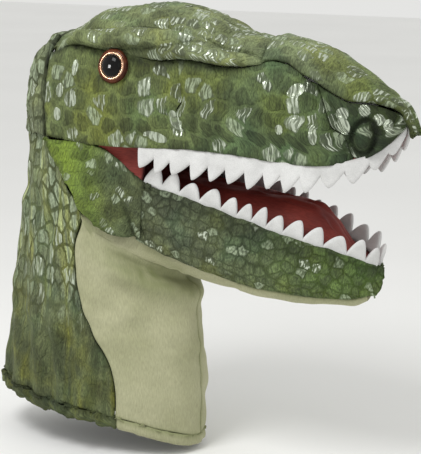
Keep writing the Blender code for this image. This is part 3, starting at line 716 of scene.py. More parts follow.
def crease(points, line, width):
    """1 along a line of (x, degrees) on the head, falling away beside it, on both sides alike."""
    line = np.array(line, float)
    corners = head_point(RIGHT, line[:, 0], line[:, 1])
    here = near_side(points)
    best = np.full(len(points), 1.0)
    for a, b in zip(corners, corners[1:]):
        way = b - a
        t = np.clip(((here - a) @ way) / (way @ way), 0, 1)
        best = np.minimum(best, np.linalg.norm(here - a - t[:, None] * way, axis=1))
    return np.exp(-((best / width) ** 2))


def spot(points, x, degrees, width, height):
    """1 at a place on the head, falling away round it like a hill."""
    gap = near_side(points) - head_point(RIGHT, x, degrees)
    along, up = gap[:, 0] / width, np.linalg.norm(gap[:, 1:], axis=1) / height
    return np.exp(-(along**2) - up**2)


def nostril_ring(points):
    """1 on the nostril's ring, less inside, on both sides of the head."""
    gap = points - head_point(RIGHT, 0.2245, 9.5)
    return np.hypot(gap[:, 0] / 0.0068, (gap[:, 2] - 0.25 * gap[:, 0]) / 0.0105)


def head_relief(points, u=None, v=None):
    """How the padded head stands off its plain shape: sockets, pads, dents and creases."""
    x = points[:, 0]
    rise = np.zeros(len(points))
    for height, at, degrees, long, tall in (
        (-0.0020, 0.040, 27, 0.026, 0.020), (0.0020, 0.055, 8, 0.030, 0.024),
        (0.0016, 0.000, 12, 0.020, 0.024), (0.0026, 0.118, 10, 0.022, 0.026),
        (0.0026, 0.165, 16, 0.026, 0.022), (0.0030, 0.226, 10, 0.011, 0.015),
        (0.0016, 0.212, 26, 0.012, 0.010), (0.0012, 0.178, 32, 0.007, 0.007),
    ):
        rise += height * spot(points, at, degrees, long, tall)
    rise -= 0.0042 * crease(points, [(0.0910, 18), (0.0915, 13), (0.0890, 8), (0.0930, 3)], 0.0050)
    rise -= 0.0016 * crease(points, [(0.103, 10), (0.1035, 3)], 0.0035)
    rise -= 0.0050 * crease(points, [(0.186, 43), (0.198, 27), (0.205, 14), (0.219, 0.5)], 0.0055)
    nostril = nostril_ring(points)
    rise -= 0.0036 * bump(nostril, 1.05, 0.24)
    rise += 0.0020 * smooth(0.9, 0.3, nostril)
    rise += 0.0013 * bump(points[:, 2], LIP(x), 0.006) * smooth(0.03, 0.06, x)
    return rise + 0.0007 * ripple(points, 0.026, 21) + 0.00035 * ripple(points, 0.011, 22)


def head_painted_shade(points, u=None, v=None):
    x = points[:, 0]
    # painted shade in the nostril's ring and the darts' creases, and painted shadow under the brow's overhang
    shade_and_stain = bump(nostril_ring(points), 1.12, 0.34)
    for strength, line, width in (
        (0.98, [(0.0910, 19), (0.0915, 13), (0.0890, 8), (0.0930, 3)], 0.0022),
        (0.5, [(0.103, 9), (0.1035, 4)], 0.0028),
        (0.8, [(0.190, 41), (0.199, 26), (0.206, 14), (0.218, 1)], 0.0032),
    ):
        shade_and_stain = np.maximum(shade_and_stain, strength * crease(points, line, width))
    under_brow = smooth(9, 1, (BROW_FOOT(x) - angle_of(points)) * 1.4) * smooth(0.16, 0.14, x)
    return np.maximum(shade_and_stain, 0.85 * under_brow)


def angle_of(points):
    x, y, z = points.T
    up = np.clip((z - LIP(x)) / np.maximum(TOP(x) - LIP(x), 1e-6), 0, None)
    out = np.abs(y) / np.maximum(HEAD_HALF(x), 1e-6)
    return np.degrees(np.arctan2(up**1.5, out**1.5))


def solid_foil(points, u=None, v=None):
    """The scales whose silver is stamped solid, in the print of the near and far sides."""
    shine = np.zeros(len(points))
    for x, degrees, width, height, lean in (
        (0.0745, 1.4, 0.0088, 0.0033, -0.25), (0.1790, 13.5, 0.0048, 0.0052, 0),
        (0.1780, 31, 0.0058, 0.0050, 0.3), (0.1915, 9.0, 0.0028, 0.0070, -0.2),
        (0.2105, 24, 0.0045, 0.0045, 0), (0.2240, 33, 0.0040, 0.0042, 0), (0.1680, 9, 0.0032, 0.0040, 0),
        (-0.0080, 16, 0.0032, 0.0052, 0), (-0.0100, 6, 0.0032, 0.0050, 0), (0.0050, 12, 0.0028, 0.0060, -0.3),
        (0.0040, 27, 0.0026, 0.0060, 0), (0.0885, 5.5, 0.0040, 0.0060, -0.9), (0.2330, 26, 0.0042, 0.0040, 0),
        (0.2390, 18, 0.0030, 0.0045, 0), (0.2110, 15, 0.0052, 0.0060, 0),
    ):
        centre = head_point(RIGHT, x, degrees)
        gap = points - centre
        gap[:, 1] = np.abs(points[:, 1]) + centre[1]
        up = np.hypot(gap[:, 1], gap[:, 2]) * np.sign(gap[:, 2])
        edge = np.hypot(gap[:, 0] / width, (up - lean * gap[:, 0]) / height)
        shine = np.maximum(shine, smooth(1.25, 0.85, edge))
    return shine


HEAD_PRINT = scale_plush(
    "head plush", (0.0128, 0.0142),
    [(0.0, (0.150, 0.190, 0.105)), (0.24, (0.158, 0.195, 0.092)), (0.36, (0.150, 0.185, 0.072)),
     (0.55, (0.135, 0.172, 0.076)), (0.72, (0.118, 0.165, 0.082)), (0.86, (0.085, 0.125, 0.060)),
     (0.93, (0.045, 0.070, 0.036)), (1.0, (0.038, 0.062, 0.032))],
    cell_gain=0.80, band_gain=1.14, foil_share=0.26, pale=0.16, mottle=0.8)

for side, word in SIDES:
    def cheek(u, v):
        front = DART(v * 33)
        x = HEAD_BACK - 0.0015 + (front - HEAD_BACK + 0.0015) * u
        return head_point(side, x, (BROW_FOOT(x) + 0.4) * v)

    def muzzle(u, v):
        back, front = DART(v * 36), VALLEY(v * 41)
        x = back + (front - back) * u
        return head_point(side, x, (BROW_FOOT(x) + 0.4) * v)

    def nose_side(u, v):
        x = slowing(VALLEY(v * 41), HEAD_FRONT - 0.0008, u)
        return head_point(side, x, (BROW_FOOT(x) + 0.4) * v)

    for name, shape, tucks in (
        ("cheek", cheek, (1.6, 0.22, 0.5, 0.5)),
        ("muzzle", muzzle, (0.22, 0.8, 0.5, 0.6)),
        ("nose_side", nose_side, (0.8, 0.0, 0.5, 0.8)),
    ):
        piece = sewn_panel(f"cloth_{name}_{word}", shape, HEAD_CORE, lift=head_relief, tucks=tucks,
                           spacing=0.0011, dark=head_painted_shade, foil=solid_foil, pucker=0.00045, seed=5)
        cloth_piece(piece, HEAD_PRINT, "scale_plush", body="head")

# ---------------------------------------------------------------- Brows and crown
# A stuffed roll over each eye whose lower edge overhangs the cheek, running forward as a fold
# along the muzzle; the two crown halves that meet on top; and the snout's top strip, whose end
# is a narrow tab folded down over the tip.
CROWN_PRINT = scale_plush(
    "crown plush", (0.0120, 0.0100),
    [(0.0, (0.165, 0.195, 0.105)), (0.30, (0.185, 0.222, 0.112)), (0.60, (0.228, 0.268, 0.160)),
     (0.80, (0.225, 0.275, 0.165)), (0.93, (0.140, 0.185, 0.085)), (1.0, (0.120, 0.158, 0.066))],
    cell_gain=0.90, band_gain=1.08, foil_share=0.42, hatch=(600, 110), lean=-0.5, mottle=0.7)

BROW_BACK, BROW_FRONT = -0.0195, 0.1505


def brow_place(u, v):
    """x, the degrees of the brow's lower edge there, and the degrees of each point."""
    x = BROW_BACK + (BROW_FRONT - BROW_BACK) * u
    foot = BROW_FOOT(x) - 0.4
    return x, foot, foot + (BROW_TOP - foot) * v


def bulge(t):
    """A quarter round: 0 below 0, steep at first, and 1 above 1."""
    return np.sqrt(np.clip(1 - (1 - np.clip(t, 0, 1)) ** 2, 0, 1))


def overhang(points, u, v):
    """The hood stands proud over the eye; in front of it a roll swells out from underneath."""
    x, foot, degrees = brow_place(u, v)
    over, under = (degrees - HOOD_EDGE(x)) / 3.2, (degrees - foot) / 3.6
    hood = bulge(over) * smooth(-0.014, 0.008, x) * smooth(0.112, 0.088, x)
    hood *= 0.0086 * (1 - 0.70 * smooth(2.0, 5.0, over))
    roll = bulge(under) * smooth(0.052, 0.100, x) * smooth(0.151, 0.128, x)
    roll *= 0.0080 * (1 - 0.72 * smooth(1.6, 4.6, under))
    return (np.maximum(hood, roll) + head_relief(points) * 0.6) * smooth(1.0, 0.86, v)


def brow_painted_shade(points, u, v):
    # painted shadow in the wedge under the hood and along its edge, and painted shade at the lower edge
    x, foot, degrees = brow_place(u, v)
    above = degrees - HOOD_EDGE(x)
    wedge = 0.62 * smooth(0.6, -0.6, above) * smooth(0.125, 0.062, x)
    edge = 0.85 * bump(above, -0.5, 0.9) * smooth(0.120, 0.100, x) * smooth(0.040, 0.050, x)
    return np.maximum(np.maximum(wedge, edge), 0.6 * bump(v, 0.0, 0.08))


def crown_lift(points, u, v):
    lift = 0.0010 * ripple(points, 0.030, 31) + 0.00045 * ripple(points, 0.010, 32)
    lift -= 0.0016 * crease(points, [(0.080, 52), (0.100, 58), (0.118, 70), (0.128, 88)], 0.004)
    lift -= 0.0032 * crease(points, [(0.078, 51.5), (0.090, 49.5), (0.104, 50), (0.140, 51)], 0.0030)
    lift += 0.0016 * bump(v, 0.12, 0.10) * smooth(0.3, 0.6, u) - 0.0012
    return lift * smooth(0.0, 0.07, v)


for side, word in SIDES:
    def brow(u, v):
        x, foot, degrees = brow_place(u, v)
        return head_point(side, x, degrees)

    def crown(u, v):
        x = HEAD_BACK - 0.001 + (BROW_FRONT - HEAD_BACK + 0.001) * u
        return head_point(side, x, BROW_TOP + 0.2 + (89.9 - BROW_TOP - 0.2) * v)

    for name, shape, lift, shade_and_stain, tucks in (
        ("brow", brow, overhang, brow_painted_shade, (1, 0.8, 1.1, 0.10)),
        ("crown", crown, crown_lift, None, (1.2, 0.4, 0.10, 0.22)),
    ):
        piece = sewn_panel(f"cloth_{name}_{word}", shape, HEAD_CORE, lift=lift, tucks=tucks,
                           spacing=0.0011, dark=shade_and_stain, pucker=0.0005, seed=9)
        cloth_piece(piece, CROWN_PRINT, "scale_plush", body="head")


def bridge(u, v):
    """The snout's top strip, hooked down over the tip, where it narrows to a tab."""
    x = slowing(0.1500, 0.2500, u)
    side = np.where(v < 0.5, RIGHT, LEFT)
    rim = np.abs(2 * v - 1)
    across = head_point(side, x, 90 - (90 - BROW_FOOT(x) + 0.3) * rim, 0.0012)
    hook = smooth(0.2370, 0.2500, x) ** 0.8
    across += stack(0.0060 * np.sin(hook * 2.2), 0 * hook, -0.0150 * hook**2)
    half = np.maximum(np.abs(across[:, 1]), 0.0098 * rim * smooth(0.235, 0.243, x))
    across[:, 1] = np.sign(across[:, 1]) * half
    return across


def bridge_lift(points, u, v):
    rim = np.abs(2 * v - 1)
    return (0.0022 * bump(rim, 0.80, 0.16) * smooth(0.0, 0.15, u) + 0.0007 * ripple(points, 0.024, 41)
            + 0.0004 * ripple(points, 0.009, 42))


# painted shade along the strip's side seams
piece = sewn_panel("cloth_nose_bridge", bridge, HEAD_CORE, lift=bridge_lift, tucks=(0.9, 0.2, 1.0, 1.0),
                   spacing=0.0011, pucker=0.0002,
                   dark=lambda p, u, v: 0.45 * smooth(0.80, 1.0, np.abs(2 * v - 1)))
cloth_piece(piece, CROWN_PRINT, "scale_plush", body="head")

# ---------------------------------------------------------------- Nape
# Two strips of foil-printed plush gathered behind the cheeks and crown, closing the head's back
# down to the top of the neck. Their gathers stand up in lumps.
NAPE_PRINT = scale_plush(
    "nape plush", (0.0085, 0.0150),
    [(0.0, (0.170, 0.190, 0.120)), (0.5, (0.150, 0.178, 0.098)), (1.0, (0.160, 0.195, 0.100))],
    axis="Z", span=(0.20, 0.31), cell_gain=1.25, band_gain=0.68, grey=0.35, edge=(0.05, 0.13),
    foil_share=0.25, pale=0.4, mottle=0.6)


def gathers(points, u, v):
    lumps = 0.0017 * ripple(points * (1, 1, 0.6), 0.017, 51)
    return lumps + 0.0007 * ripple(points, 0.009, 52) - 0.001


def nape_painted_shade(points, u, v):
    # painted shade at the seam behind the cheek and in patches between the gathers
    return 0.9 * bump(u, 0, 0.09) + 0.25 * (ripple(points, 0.014, 53) > 0.8)


for side, word in SIDES:
    def nape(u, v):
        turn = np.radians(89 * u)
        y, z = section(HEAD_HALF(HEAD_BACK), TOP(HEAD_BACK) - LIP(HEAD_BACK), 89.9 * v)
        return stack(HEAD_BACK - 0.0012 - 0.0365 * np.sin(turn), side * y * np.cos(turn),
                     LIP(HEAD_BACK) + z * np.cos(turn))

    piece = sewn_panel(f"cloth_nape_{word}", nape, HEAD_CORE, lift=gathers, tucks=(1.3, 0, 0.6, 0.4),
                       spacing=0.0014, dark=nape_painted_shade)
    cloth_piece(piece, NAPE_PRINT, "scale_plush", body="head", held="gathered")

# ---------------------------------------------------------------- Jaw skin
# Two green sides drawn over the padded jaw and rolled in over the lip, meeting a pale strip under
# the chin; behind it a slack pale gusset runs back to the throat and lets the jaw drop.
JAW_DROP = math.radians(16.6)
HINGE = Vector((0.025, 0, 0.214))
JAW_HALF = curve((0.040, 0.047), (0.090, 0.044), (0.130, 0.040), (0.170, 0.033), (0.195, 0.025),
                 (0.210, 0.016), (0.218, 0.006))
JAW_LIP = curve((0.006, -0.004), (0.025, -0.010), (0.042, -0.015), (0.200, -0.015), (0.218, -0.019))
JAW_DEPTH = curve((0.042, 0.060), (0.100, 0.060), (0.140, 0.057), (0.175, 0.049), (0.197, 0.041),
                  (0.210, 0.035), (0.218, 0.026))
CHIN_EDGE = 47
JAW_CORE = (0.13, 0, 0.15)


def jaw_point(side, x, degrees, inset=0.0):
    """A point on the jaw in its own frame: 0 degrees is the lip, 90 the chin's underside."""
    y, z = section(JAW_HALF(x) - inset, JAW_DEPTH(x) - inset, degrees)
    return stack(x, side * y, JAW_LIP(x) - z)


def from_jaw(points):
    """From the jaw's own frame, straight and level at its hinge, to where it hangs open."""
    x, y, z = points.T
    return stack(HINGE.x + x * math.cos(JAW_DROP) + z * math.sin(JAW_DROP), y,
                 HINGE.z - x * math.sin(JAW_DROP) + z * math.cos(JAW_DROP))


JAW_PRINT = scale_plush(
    "jaw plush", (0.0086, 0.0078),
    [(0.0, (0.125, 0.150, 0.094)), (0.40, (0.115, 0.140, 0.080)), (0.62, (0.102, 0.142, 0.062)),
     (0.78, (0.110, 0.175, 0.042)), (1.0, (0.100, 0.178, 0.035))],
    span=(0.02, 0.24), cell_gain=1.08, band_gain=0.76, grey=0.16, pale=0.07, edge=(0.0, 0.16),
    rounding=(0.42, 0.74), foil_share=0.07, hatch=(600, 260), mottle=0.9)

LIP_SHARE = 0.075


def jaw_lift(points, u, v):
    lift = 0.0022 * bump(v, 0.42, 0.32) * smooth(0.0, 0.25, u) + 0.0012 * bump(v, LIP_SHARE * 2.2, 0.07)
    lift -= 0.0020 * smooth(0.10, 0.0, u)
    return lift + 0.0007 * ripple(points, 0.024, 61) + 0.00035 * ripple(points, 0.009, 62)


for side, word in SIDES:
    def jaw_side(u, v):
        x = slowing(0.0425, 0.2183, u)
        down = np.clip((v - LIP_SHARE) / (1 - LIP_SHARE), 0, 1)
        placed = jaw_point(side, x, (CHIN_EDGE - 0.4) * down)
        closing = smooth(0.80, 1.0, u)
        placed[:, 1] *= 1 - 0.97 * closing**2
        placed[:, 0] += 0.0035 * closing
        roll = np.clip(1 - v / LIP_SHARE, 0, 1) * math.pi / 2
        placed[:, 1] -= side * np.minimum(0.0036 * (1 - np.cos(roll)), np.abs(placed[:, 1]) * 0.9)
        placed[:, 2] += 0.0022 * np.sin(roll)
        return from_jaw(placed)

    # painted shade where the skin rolls in over the lip and at its back seam
    piece = sewn_panel(f"cloth_jaw_skin_{word}", jaw_side, JAW_CORE, lift=jaw_lift, tucks=(0.6, 0, 0, 0.7),
                       spacing=0.0012, pucker=0.0004, seed=13,
                       dark=lambda p, u, v: np.maximum(0.62 * bump(v, 0.05, 0.13), 0.30 * bump(u, 0, 0.03)))
    cloth_piece(piece, JAW_PRINT, "scale_plush", body="jaw")


def chin(u, v):
    x = slowing(0.1290, 0.2178, u)
    side = np.where(v < 0.5, RIGHT, LEFT)
    return from_jaw(jaw_point(side, x, 90 - (90 - CHIN_EDGE - 0.2) * np.abs(2 * v - 1)))


# painted shade along the chin strip's side seams
piece = sewn_panel("cloth_chin_panel", chin, JAW_CORE, tucks=(0, 0, 0.7, 0.7), wrinkle=0.0005, seed=14,
                   wrinkle_size=0.02, dark=lambda p, u, v: 0.35 * bump(np.abs(2 * v - 1), 1, 0.12))
cloth_piece(piece, THROAT, "throat_plush", body="jaw")


def gusset(u, v):
    side = np.where(v < 0.5, RIGHT, LEFT)
    across = np.abs(2 * v - 1)
    near = from_jaw(jaw_point(side, np.full_like(u, 0.1292), 90 - (88 - CHIN_EDGE) * across, 0.001))
    angle = 83 * across
    far = neck_point(side, collar_height(angle) - 0.004, angle, inset=0.0008)
    placed = near + (far - near) * u[:, None]
    placed[:, 1] *= 1 - 0.12 * np.sin(math.pi * u)
    placed[:, 2] -= 0.0035 * np.sin(math.pi * u) * (1 - across**2)
    return placed


# painted shade at the gusset's foot by the neck and in its middle fold
piece = sewn_panel("cloth_throat_gusset", gusset, (0.07, 0, 0.20), tucks=(0, 0, 0.4, 0.4), seed=15,
                   wrinkle=0.0009, wrinkle_size=0.022,
                   dark=lambda p, u, v: 0.5 * bump(u, 1, 0.10) + 0.3 * bump(u, 0.55, 0.09))
cloth_piece(piece, THROAT, "throat_plush", held="hung",
            bend=("jaw", "head", (0.135, 0, 0.128), (0.070, 0, 0.133)))

# ---------------------------------------------------------------- Jowls and mouth corners
# A soft triangular pouch of plush at each corner of the mouth, sewn to the cheek above and the
# jaw in front, and inside it the folded red lining that stretches as the mouth opens.
JOWL_TOP = [(-0.0215, 0.2160), (0.024, 0.2135), (0.0625, 0.1885)]
JOWL_FOOT = [(-0.0200, 0.2080), (0.0080, 0.1620), (0.0320, 0.1455), (0.0560, 0.1450)]
WEB_TOP = [(0.024, 0.2150), (0.0600, 0.2150)]
WEB_FOOT = [(0.024, 0.2060), (0.0595, 0.1860)]


def corner_line(corners, t):
    """(x, z) a share t of the way along a smoothed line of corners."""
    at = np.linspace(0, 1, len(corners))
    return [curve(*zip(at, [corner[k] for corner in corners]))(t) for k in range(2)]


JOWL_PRINT = scale_plush(
    "jowl plush", (0.0085, 0.0090),
    [(0.0, (0.170, 0.240, 0.055)), (0.22, (0.210, 0.300, 0.050)), (0.48, (0.165, 0.235, 0.062)),
     (0.66, (0.140, 0.180, 0.092)), (1.0, (0.135, 0.162, 0.098))],
    span=(-0.02, 0.062), cell_gain=0.95, band_gain=1.0, foil_share=0.08, pale=0.10, mottle=0.45)

# its near-black tint is painted shade in the mouth's troughs, at its back and in its corners
SATIN = soft_material(
    "mouth lining", [(0.32, (0.150, 0.024, 0.019)), (0.68, (0.230, 0.040, 0.030))], dict(scale=34.0),
    dict(on_cloth=True, scale=1.0, detail=3.0, stretch=(190, 1500, 1)),
    fleck=(0.72, 1.22), shade_and_stain_tint=((0.022, 0.005, 0.006), 1.0), raised=(0.35, 0.0004),
    roughness=0.6, sheen=0.15, sheen_roughness=0.35, sheen_tint=(0.8, 0.25, 0.2), ior=1.3)


def jowl_crease(points, width):
    """1 on the upright crease across the pouch, falling away beside it."""
    x, y, z = points.T
    return bump(x - 0.0475 + 0.2 * (z - 0.165), 0, width)


def jowl_lift(points, u, v):
    lump = bump(v, 0.42, 0.25) * bump(u, 0.30, 0.28)
    rise = 0.0014 * lump - 0.0030 * jowl_crease(points, 0.0040) * smooth(0.30, 0.60, v)
    return rise + 0.0010 * ripple(points, 0.022, 71) + 0.0005 * ripple(points, 0.010, 72)


def jowl_painted_shade(points, u, v):
    # painted shade in the pouch's upright crease and along its back seam
    return np.maximum(0.9 * jowl_crease(points, 0.0024) * smooth(0.35, 0.7, v), 0.5 * bump(u, 0.0, 0.10))


for side, word in SIDES:
    def jowl(u, v):
        (x0, z0), (x1, z1) = corner_line(JOWL_TOP, u), corner_line(JOWL_FOOT, u)
        belly = 0.0072 * np.sin(math.pi * v) ** 0.8 * np.sin(math.pi * np.clip(u * 0.93 + 0.05, 0, 1))
        half = 0.0500 - 0.0035 * u - 0.002 * v + belly
        return stack(x0 + (x1 - x0) * v, side * half, z0 + (z1 - z0) * v)

    def web(u, v):
        (x0, z0), (x1, z1) = corner_line(WEB_TOP, u), corner_line(WEB_FOOT, u)
        fold = 0.005 * u * np.sin(math.pi * v)
        return stack(x0 + (x1 - x0) * v, side * (0.0462 - fold), z0 + (z1 - z0) * v)

    piece = sewn_panel(f"cloth_jowl_{word}", jowl, (0.03, 0, 0.19), lift=jowl_lift, dark=jowl_painted_shade,
                       tucks=(1.6, 0.5, 1.0, 1.0), spacing=0.0011, reach=0.0032, pucker=0.0006, seed=17)
    cloth_piece(piece, JOWL_PRINT, "scale_plush",
                bend=("head", "jaw", (0.012, 0, 0.214), (0.046, 0, 0.178)))
    # painted shadow at the web's front edge, in the gap by the teeth
    piece = sewn_panel(f"cloth_mouth_web_{word}", web, (0.03, 0, 0.2), tucks=(0, 1.0, 0, 0), spacing=0.0014,
                       wall=0.0014, wrinkle=0.0004, wrinkle_size=0.008, seed=18,
                       dark=lambda p, u, v: 0.9 * smooth(0.93, 1.0, u))
    cloth_piece(piece, SATIN, "mouth_satin", held="folded",
                bend=("head", "jaw", (0.045, 0, 0.212), (0.046, 0, 0.192)))

# ---------------------------------------------------------------- Teeth
# Strips of soft white felt, two plies sewn and cut, let into the lips. The upper teeth hang and
# rake backwards, and the lower ones stand up like leaves with their tips forward.
UPPER_BAND = curve((0.061, 0.006), (0.085, 0.011), (0.140, 0.0125), (0.180, 0.0105), (0.210, 0.008),
                   (0.249, 0.0075))
UPPER_TOOTH = curve((0, 0.0095), (0.10, 0.0100), (0.72, 0.0105), (0.84, 0.0090), (0.93, 0.0066), (1, 0.0055))
UPPER_LEAN = curve((0, 0.16), (0.3, 0.22), (0.6, 0.36), (0.75, 0.45), (1, 0.5))
UPPER_WIDTHS = (0.95, 0.9, 1.15, 1.0, 0.95, 1.05, 1.0, 0.9, 1.0, 1.05, 1.2, 1.2, 0.95, 0.9)
LOWER_BAND, LOWER_TOOTH = 0.0050, 0.0115
LOWER_LEAN = curve((0, 0.50), (0.3, 0.60), (0.7, 0.66), (1, 0.55))
LOWER_WIDTHS = (1.0, 1.0, 1.15, 1.2, 0.9, 0.8, 0.8, 0.9, 1.05, 1.05, 1.2, 1.0, 0.85)
FELT = 0.0030
STEPS_A_TOOTH = 16
# its grey tint is painted shade at the teeth's roots and in the notches between them
TOOTH_FELT = soft_material(
    "tooth felt", [(0.30, (0.56, 0.56, 0.55)), (0.65, (0.66, 0.66, 0.65))], dict(scale=90.0),
    dict(scale=1400.0, detail=3.0), fleck=(0.90, 1.06), shade_and_stain_tint=((0.34, 0.33, 0.31), 1.0),
    raised=(0.4, 0.0005), roughness=0.9, sheen=0.25, sheen_roughness=0.5)


def lip_walk(half, first, last, shares):
    """x for each share of the way along a lip's outline in plan."""
    xs = np.linspace(first, last, 400)
    run = np.concatenate(([0], np.cumsum(np.hypot(np.diff(xs), np.diff(half(xs))))))
    return np.interp(shares * run[-1], run, xs)


def tooth_strip(name, point, widths, band, tooth, lean, rounding, body):
    """point(share, drop) gives a place on the strip; lean(share) where each tip stands, 0 to 1."""
    count = len(widths)
    bm, uv = flat_grid(count * STEPS_A_TOOTH, 9)
    u, v = uv[:, 0], 1 - (1 - uv[:, 1]) ** 1.6
    share = np.where(u > 0.99999, 0, (u * count) % 1)
    tip = lean(u)
    off = np.where(share < tip, (tip - share) / tip, (share - tip) / (1 - tip))
    size = 1 + 0.10 * np.sin(np.floor(u * count) * 2.4)
    roots = np.concatenate(([0], np.cumsum(widths))) / sum(widths)
    u = np.interp(u, np.linspace(0, 1, count + 1), roots)
    reach = band(u) + tooth(u) * size * (1 - off**rounding)
    rim = np.minimum((1 - v) * reach * 0.55, 0.004)
    weight = 0.18 + 0.82 * np.sqrt(np.clip(rim / 0.0016, 0, 1))
    # painted shade where the felt goes into the lip and in the notches between teeth
    root_and_notch_shade = np.minimum(0.55 * bump(v, 0, 0.05) + 0.25 * (off > 0.93) * (v > 0.9), 1)
    root_line = point(np.linspace(0, 1, 200), np.zeros(200))
    length = np.linalg.norm(np.diff(root_line, axis=0), axis=1).sum()
    layer = bm.loops.layers.uv.new("cloth")
    shade_and_stain_layer = bm.verts.layers.float.new("shade_and_stain")
    for vertex, at, shade_and_stain in zip(bm.verts, point(u, reach * v), root_and_notch_shade):
        vertex.co = at
        vertex[shade_and_stain_layer] = float(shade_and_stain)
    for face in bm.faces:
        for loop in face.loops:
            index = loop.vert.index
            loop[layer].uv = (u[index] * length, float(reach[index] * v[index]))
    piece = finished(name, bm)
    plies = piece.vertex_groups.new(name="plies")
    for index, amount in enumerate(weight):
        plies.add([index], float(amount), "REPLACE")
    solid = piece.modifiers.new("felt", "SOLIDIFY")
    solid.thickness = FELT
    solid.offset = 0
    solid.vertex_group = "plies"
    cloth_piece(piece, TOOTH_FELT, "tooth_felt", body=body)


def upper_walk(share):
    return lip_walk(HEAD_HALF, 0.0605, 0.2485, share)


for side, word in SIDES:
    def hanging(share, drop):
        x = upper_walk(share)
        y = np.maximum(HEAD_HALF(x) - 0.0016 + 0.10 * drop, 0.0042)
        return stack(x - 0.12 * drop, side * y, LIP(x) + 0.0012 - drop)

    def standing(share, rise):
        x = lip_walk(JAW_HALF, 0.0410, 0.2175, share)
        y = np.maximum(JAW_HALF(x) - 0.0046 + 0.06 * rise, 0.0042)
        return from_jaw(stack(x + 0.05 * rise, side * y, JAW_LIP(x) - 0.0004 + rise))

    tooth_strip(f"cloth_upper_teeth_{word}", hanging, UPPER_WIDTHS, lambda u: UPPER_BAND(upper_walk(u)),
                UPPER_TOOTH, UPPER_LEAN, 1.45, "head")
    tooth_strip(f"cloth_lower_teeth_{word}", standing, LOWER_WIDTHS, lambda u: LOWER_BAND,
                lambda u: LOWER_TOOTH, LOWER_LEAN, 1.9, "jaw")

# ---------------------------------------------------------------- Mouth lining
# Red napped tricot over two stiff boards: a plain palate above, and below it a floor with a
# padded ridge down its middle. The boards keep the mouth flat under the puppeteer's fingers.
PALATE_WALL = 0.0014


def palate(u, v):
    x = slowing(0.029, 0.2435, u)
    half = np.maximum(HEAD_HALF(x) - 0.0042, 0.002)
    return stack(x, half * (2 * v - 1), LIP(x) + 0.0005)


def mouth_floor(u, v):
    x = slowing(0.008, 0.2090, u)
    half = np.maximum(JAW_HALF(x) - 0.0062, 0.002)
    y = half * (2 * v - 1)
    height = np.clip(0.17 * (x - 0.020), 0, 0.0245) * smooth(0.206, 0.156, x)
    ridge = height * np.exp(-((np.abs(y) / (0.72 * half)) ** 4))
    return from_jaw(stack(x, y, JAW_LIP(x) - 0.0009 + ridge))


# painted shade in the floor's troughs beside the ridge and at the back of the mouth
def mouth_floor_painted_shade(points, u, v):
    return np.clip(0.75 * smooth(0.62, 0.86, np.abs(2 * v - 1)) + 0.7 * smooth(0.30, 0.0, u), 0, 1)


def ribs(points, u, v):
    """Shallow creases pulled across the lining by its stitches."""
    return 0.0009 * ripple(points * (0.12, 1, 0.6), 0.007, 81)


# the upper palate's painted shade deepens towards the back of the mouth
for name, shape, inside, body, shade_and_stain in (
    ("upper_palate", palate, (0.12, 0, 0.30), "head", lambda p, u, v: 0.55 * smooth(0.5, 0.0, u)),
    ("lower_palate", mouth_floor, (0.10, 0, 0.05), "jaw", mouth_floor_painted_shade),
):
    piece = sewn_panel(f"cloth_{name}", shape, inside, spacing=0.0018, tucks=(0, 0, 0, 0), lift=ribs,
                       wall=PALATE_WALL, dark=shade_and_stain)
    cloth_piece(piece, SATIN, "mouth_satin", body=body)

FIBREBOARD = soft_material(
    "stiff board", [(0.35, (0.40, 0.33, 0.24)), (0.65, (0.60, 0.53, 0.42))],
    dict(scale=1.0, detail=4.0, stretch=(180, 620, 180)), raised=(0.25, 0.0003), roughness=0.85)
for name in ("upper_palate_board", "lower_palate_board"):
    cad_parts[name].material_slots[0].material = FIBREBOARD

# ---------------------------------------------------------------- Lining and hand pockets
# Dark knitted lining: a tube in the sleeve, a short cuff above the twist, and the two flat
# pockets that take the puppeteer's four fingers above the palate and the thumb below.
LINING = 0.0011
knit, add, feed = shading("lining knit", roughness=0.92, sheen=0.15)
flat = add("UVMap", uv_map="cloth")["UV"]
wale = add("TexWave", {"Vector": flat, "Scale": 190.0, "Distortion": 1.2, "Detail": 1.0})["Fac"]
cloud = noise(add, 60.0)
base = add("ValToRGB", {0: cloud}, ramp=[(0.35, (0.055, 0.062, 0.048)), (0.65, (0.095, 0.105, 0.082))])[0]
rows = add("MapRange", {0: wale, 1: 0.0, 2: 1.0, 3: 0.70, 4: 1.15})[0]
feed(Base_Color=add("MixRGB", {0: 1.0, 1: base, 2: rows}, blend_type="MULTIPLY")[0])
feed(Normal=add("Bump", {"Height": wale, "Strength": 0.5, "Distance": 0.0005})[0])


def round_neck(inset, low, high):
    def shape(u, v):
        turn = 360 * u
        side, angle = np.where(turn <= 180, LEFT, RIGHT), np.where(turn <= 180, turn, 360 - turn)
        foot = np.full_like(u, low) if low else hem_height(angle) + HEM_HEIGHT + 0.002
        return neck_point(side, foot + (high - foot) * v, angle, inset)
    return shape


def pocket(middle, reach, half, height):
    """A flat sack, open at the back. v runs from its mouth to its closed end."""
    def shape(u, v):
        turn = 2 * math.pi * u
        close = np.clip(np.cos(v * math.pi / 2), 0, 1) ** 0.35
        close = np.where(v > 0.99999, 0, close)
        return stack(
            middle[0] + reach * v,
            middle[1] + half * close * np.sign(np.cos(turn)) * np.abs(np.cos(turn)) ** 0.7,
            middle[2] + height * close * np.sign(np.sin(turn)) * np.abs(np.sin(turn)) ** 0.7,
        )
    return shape


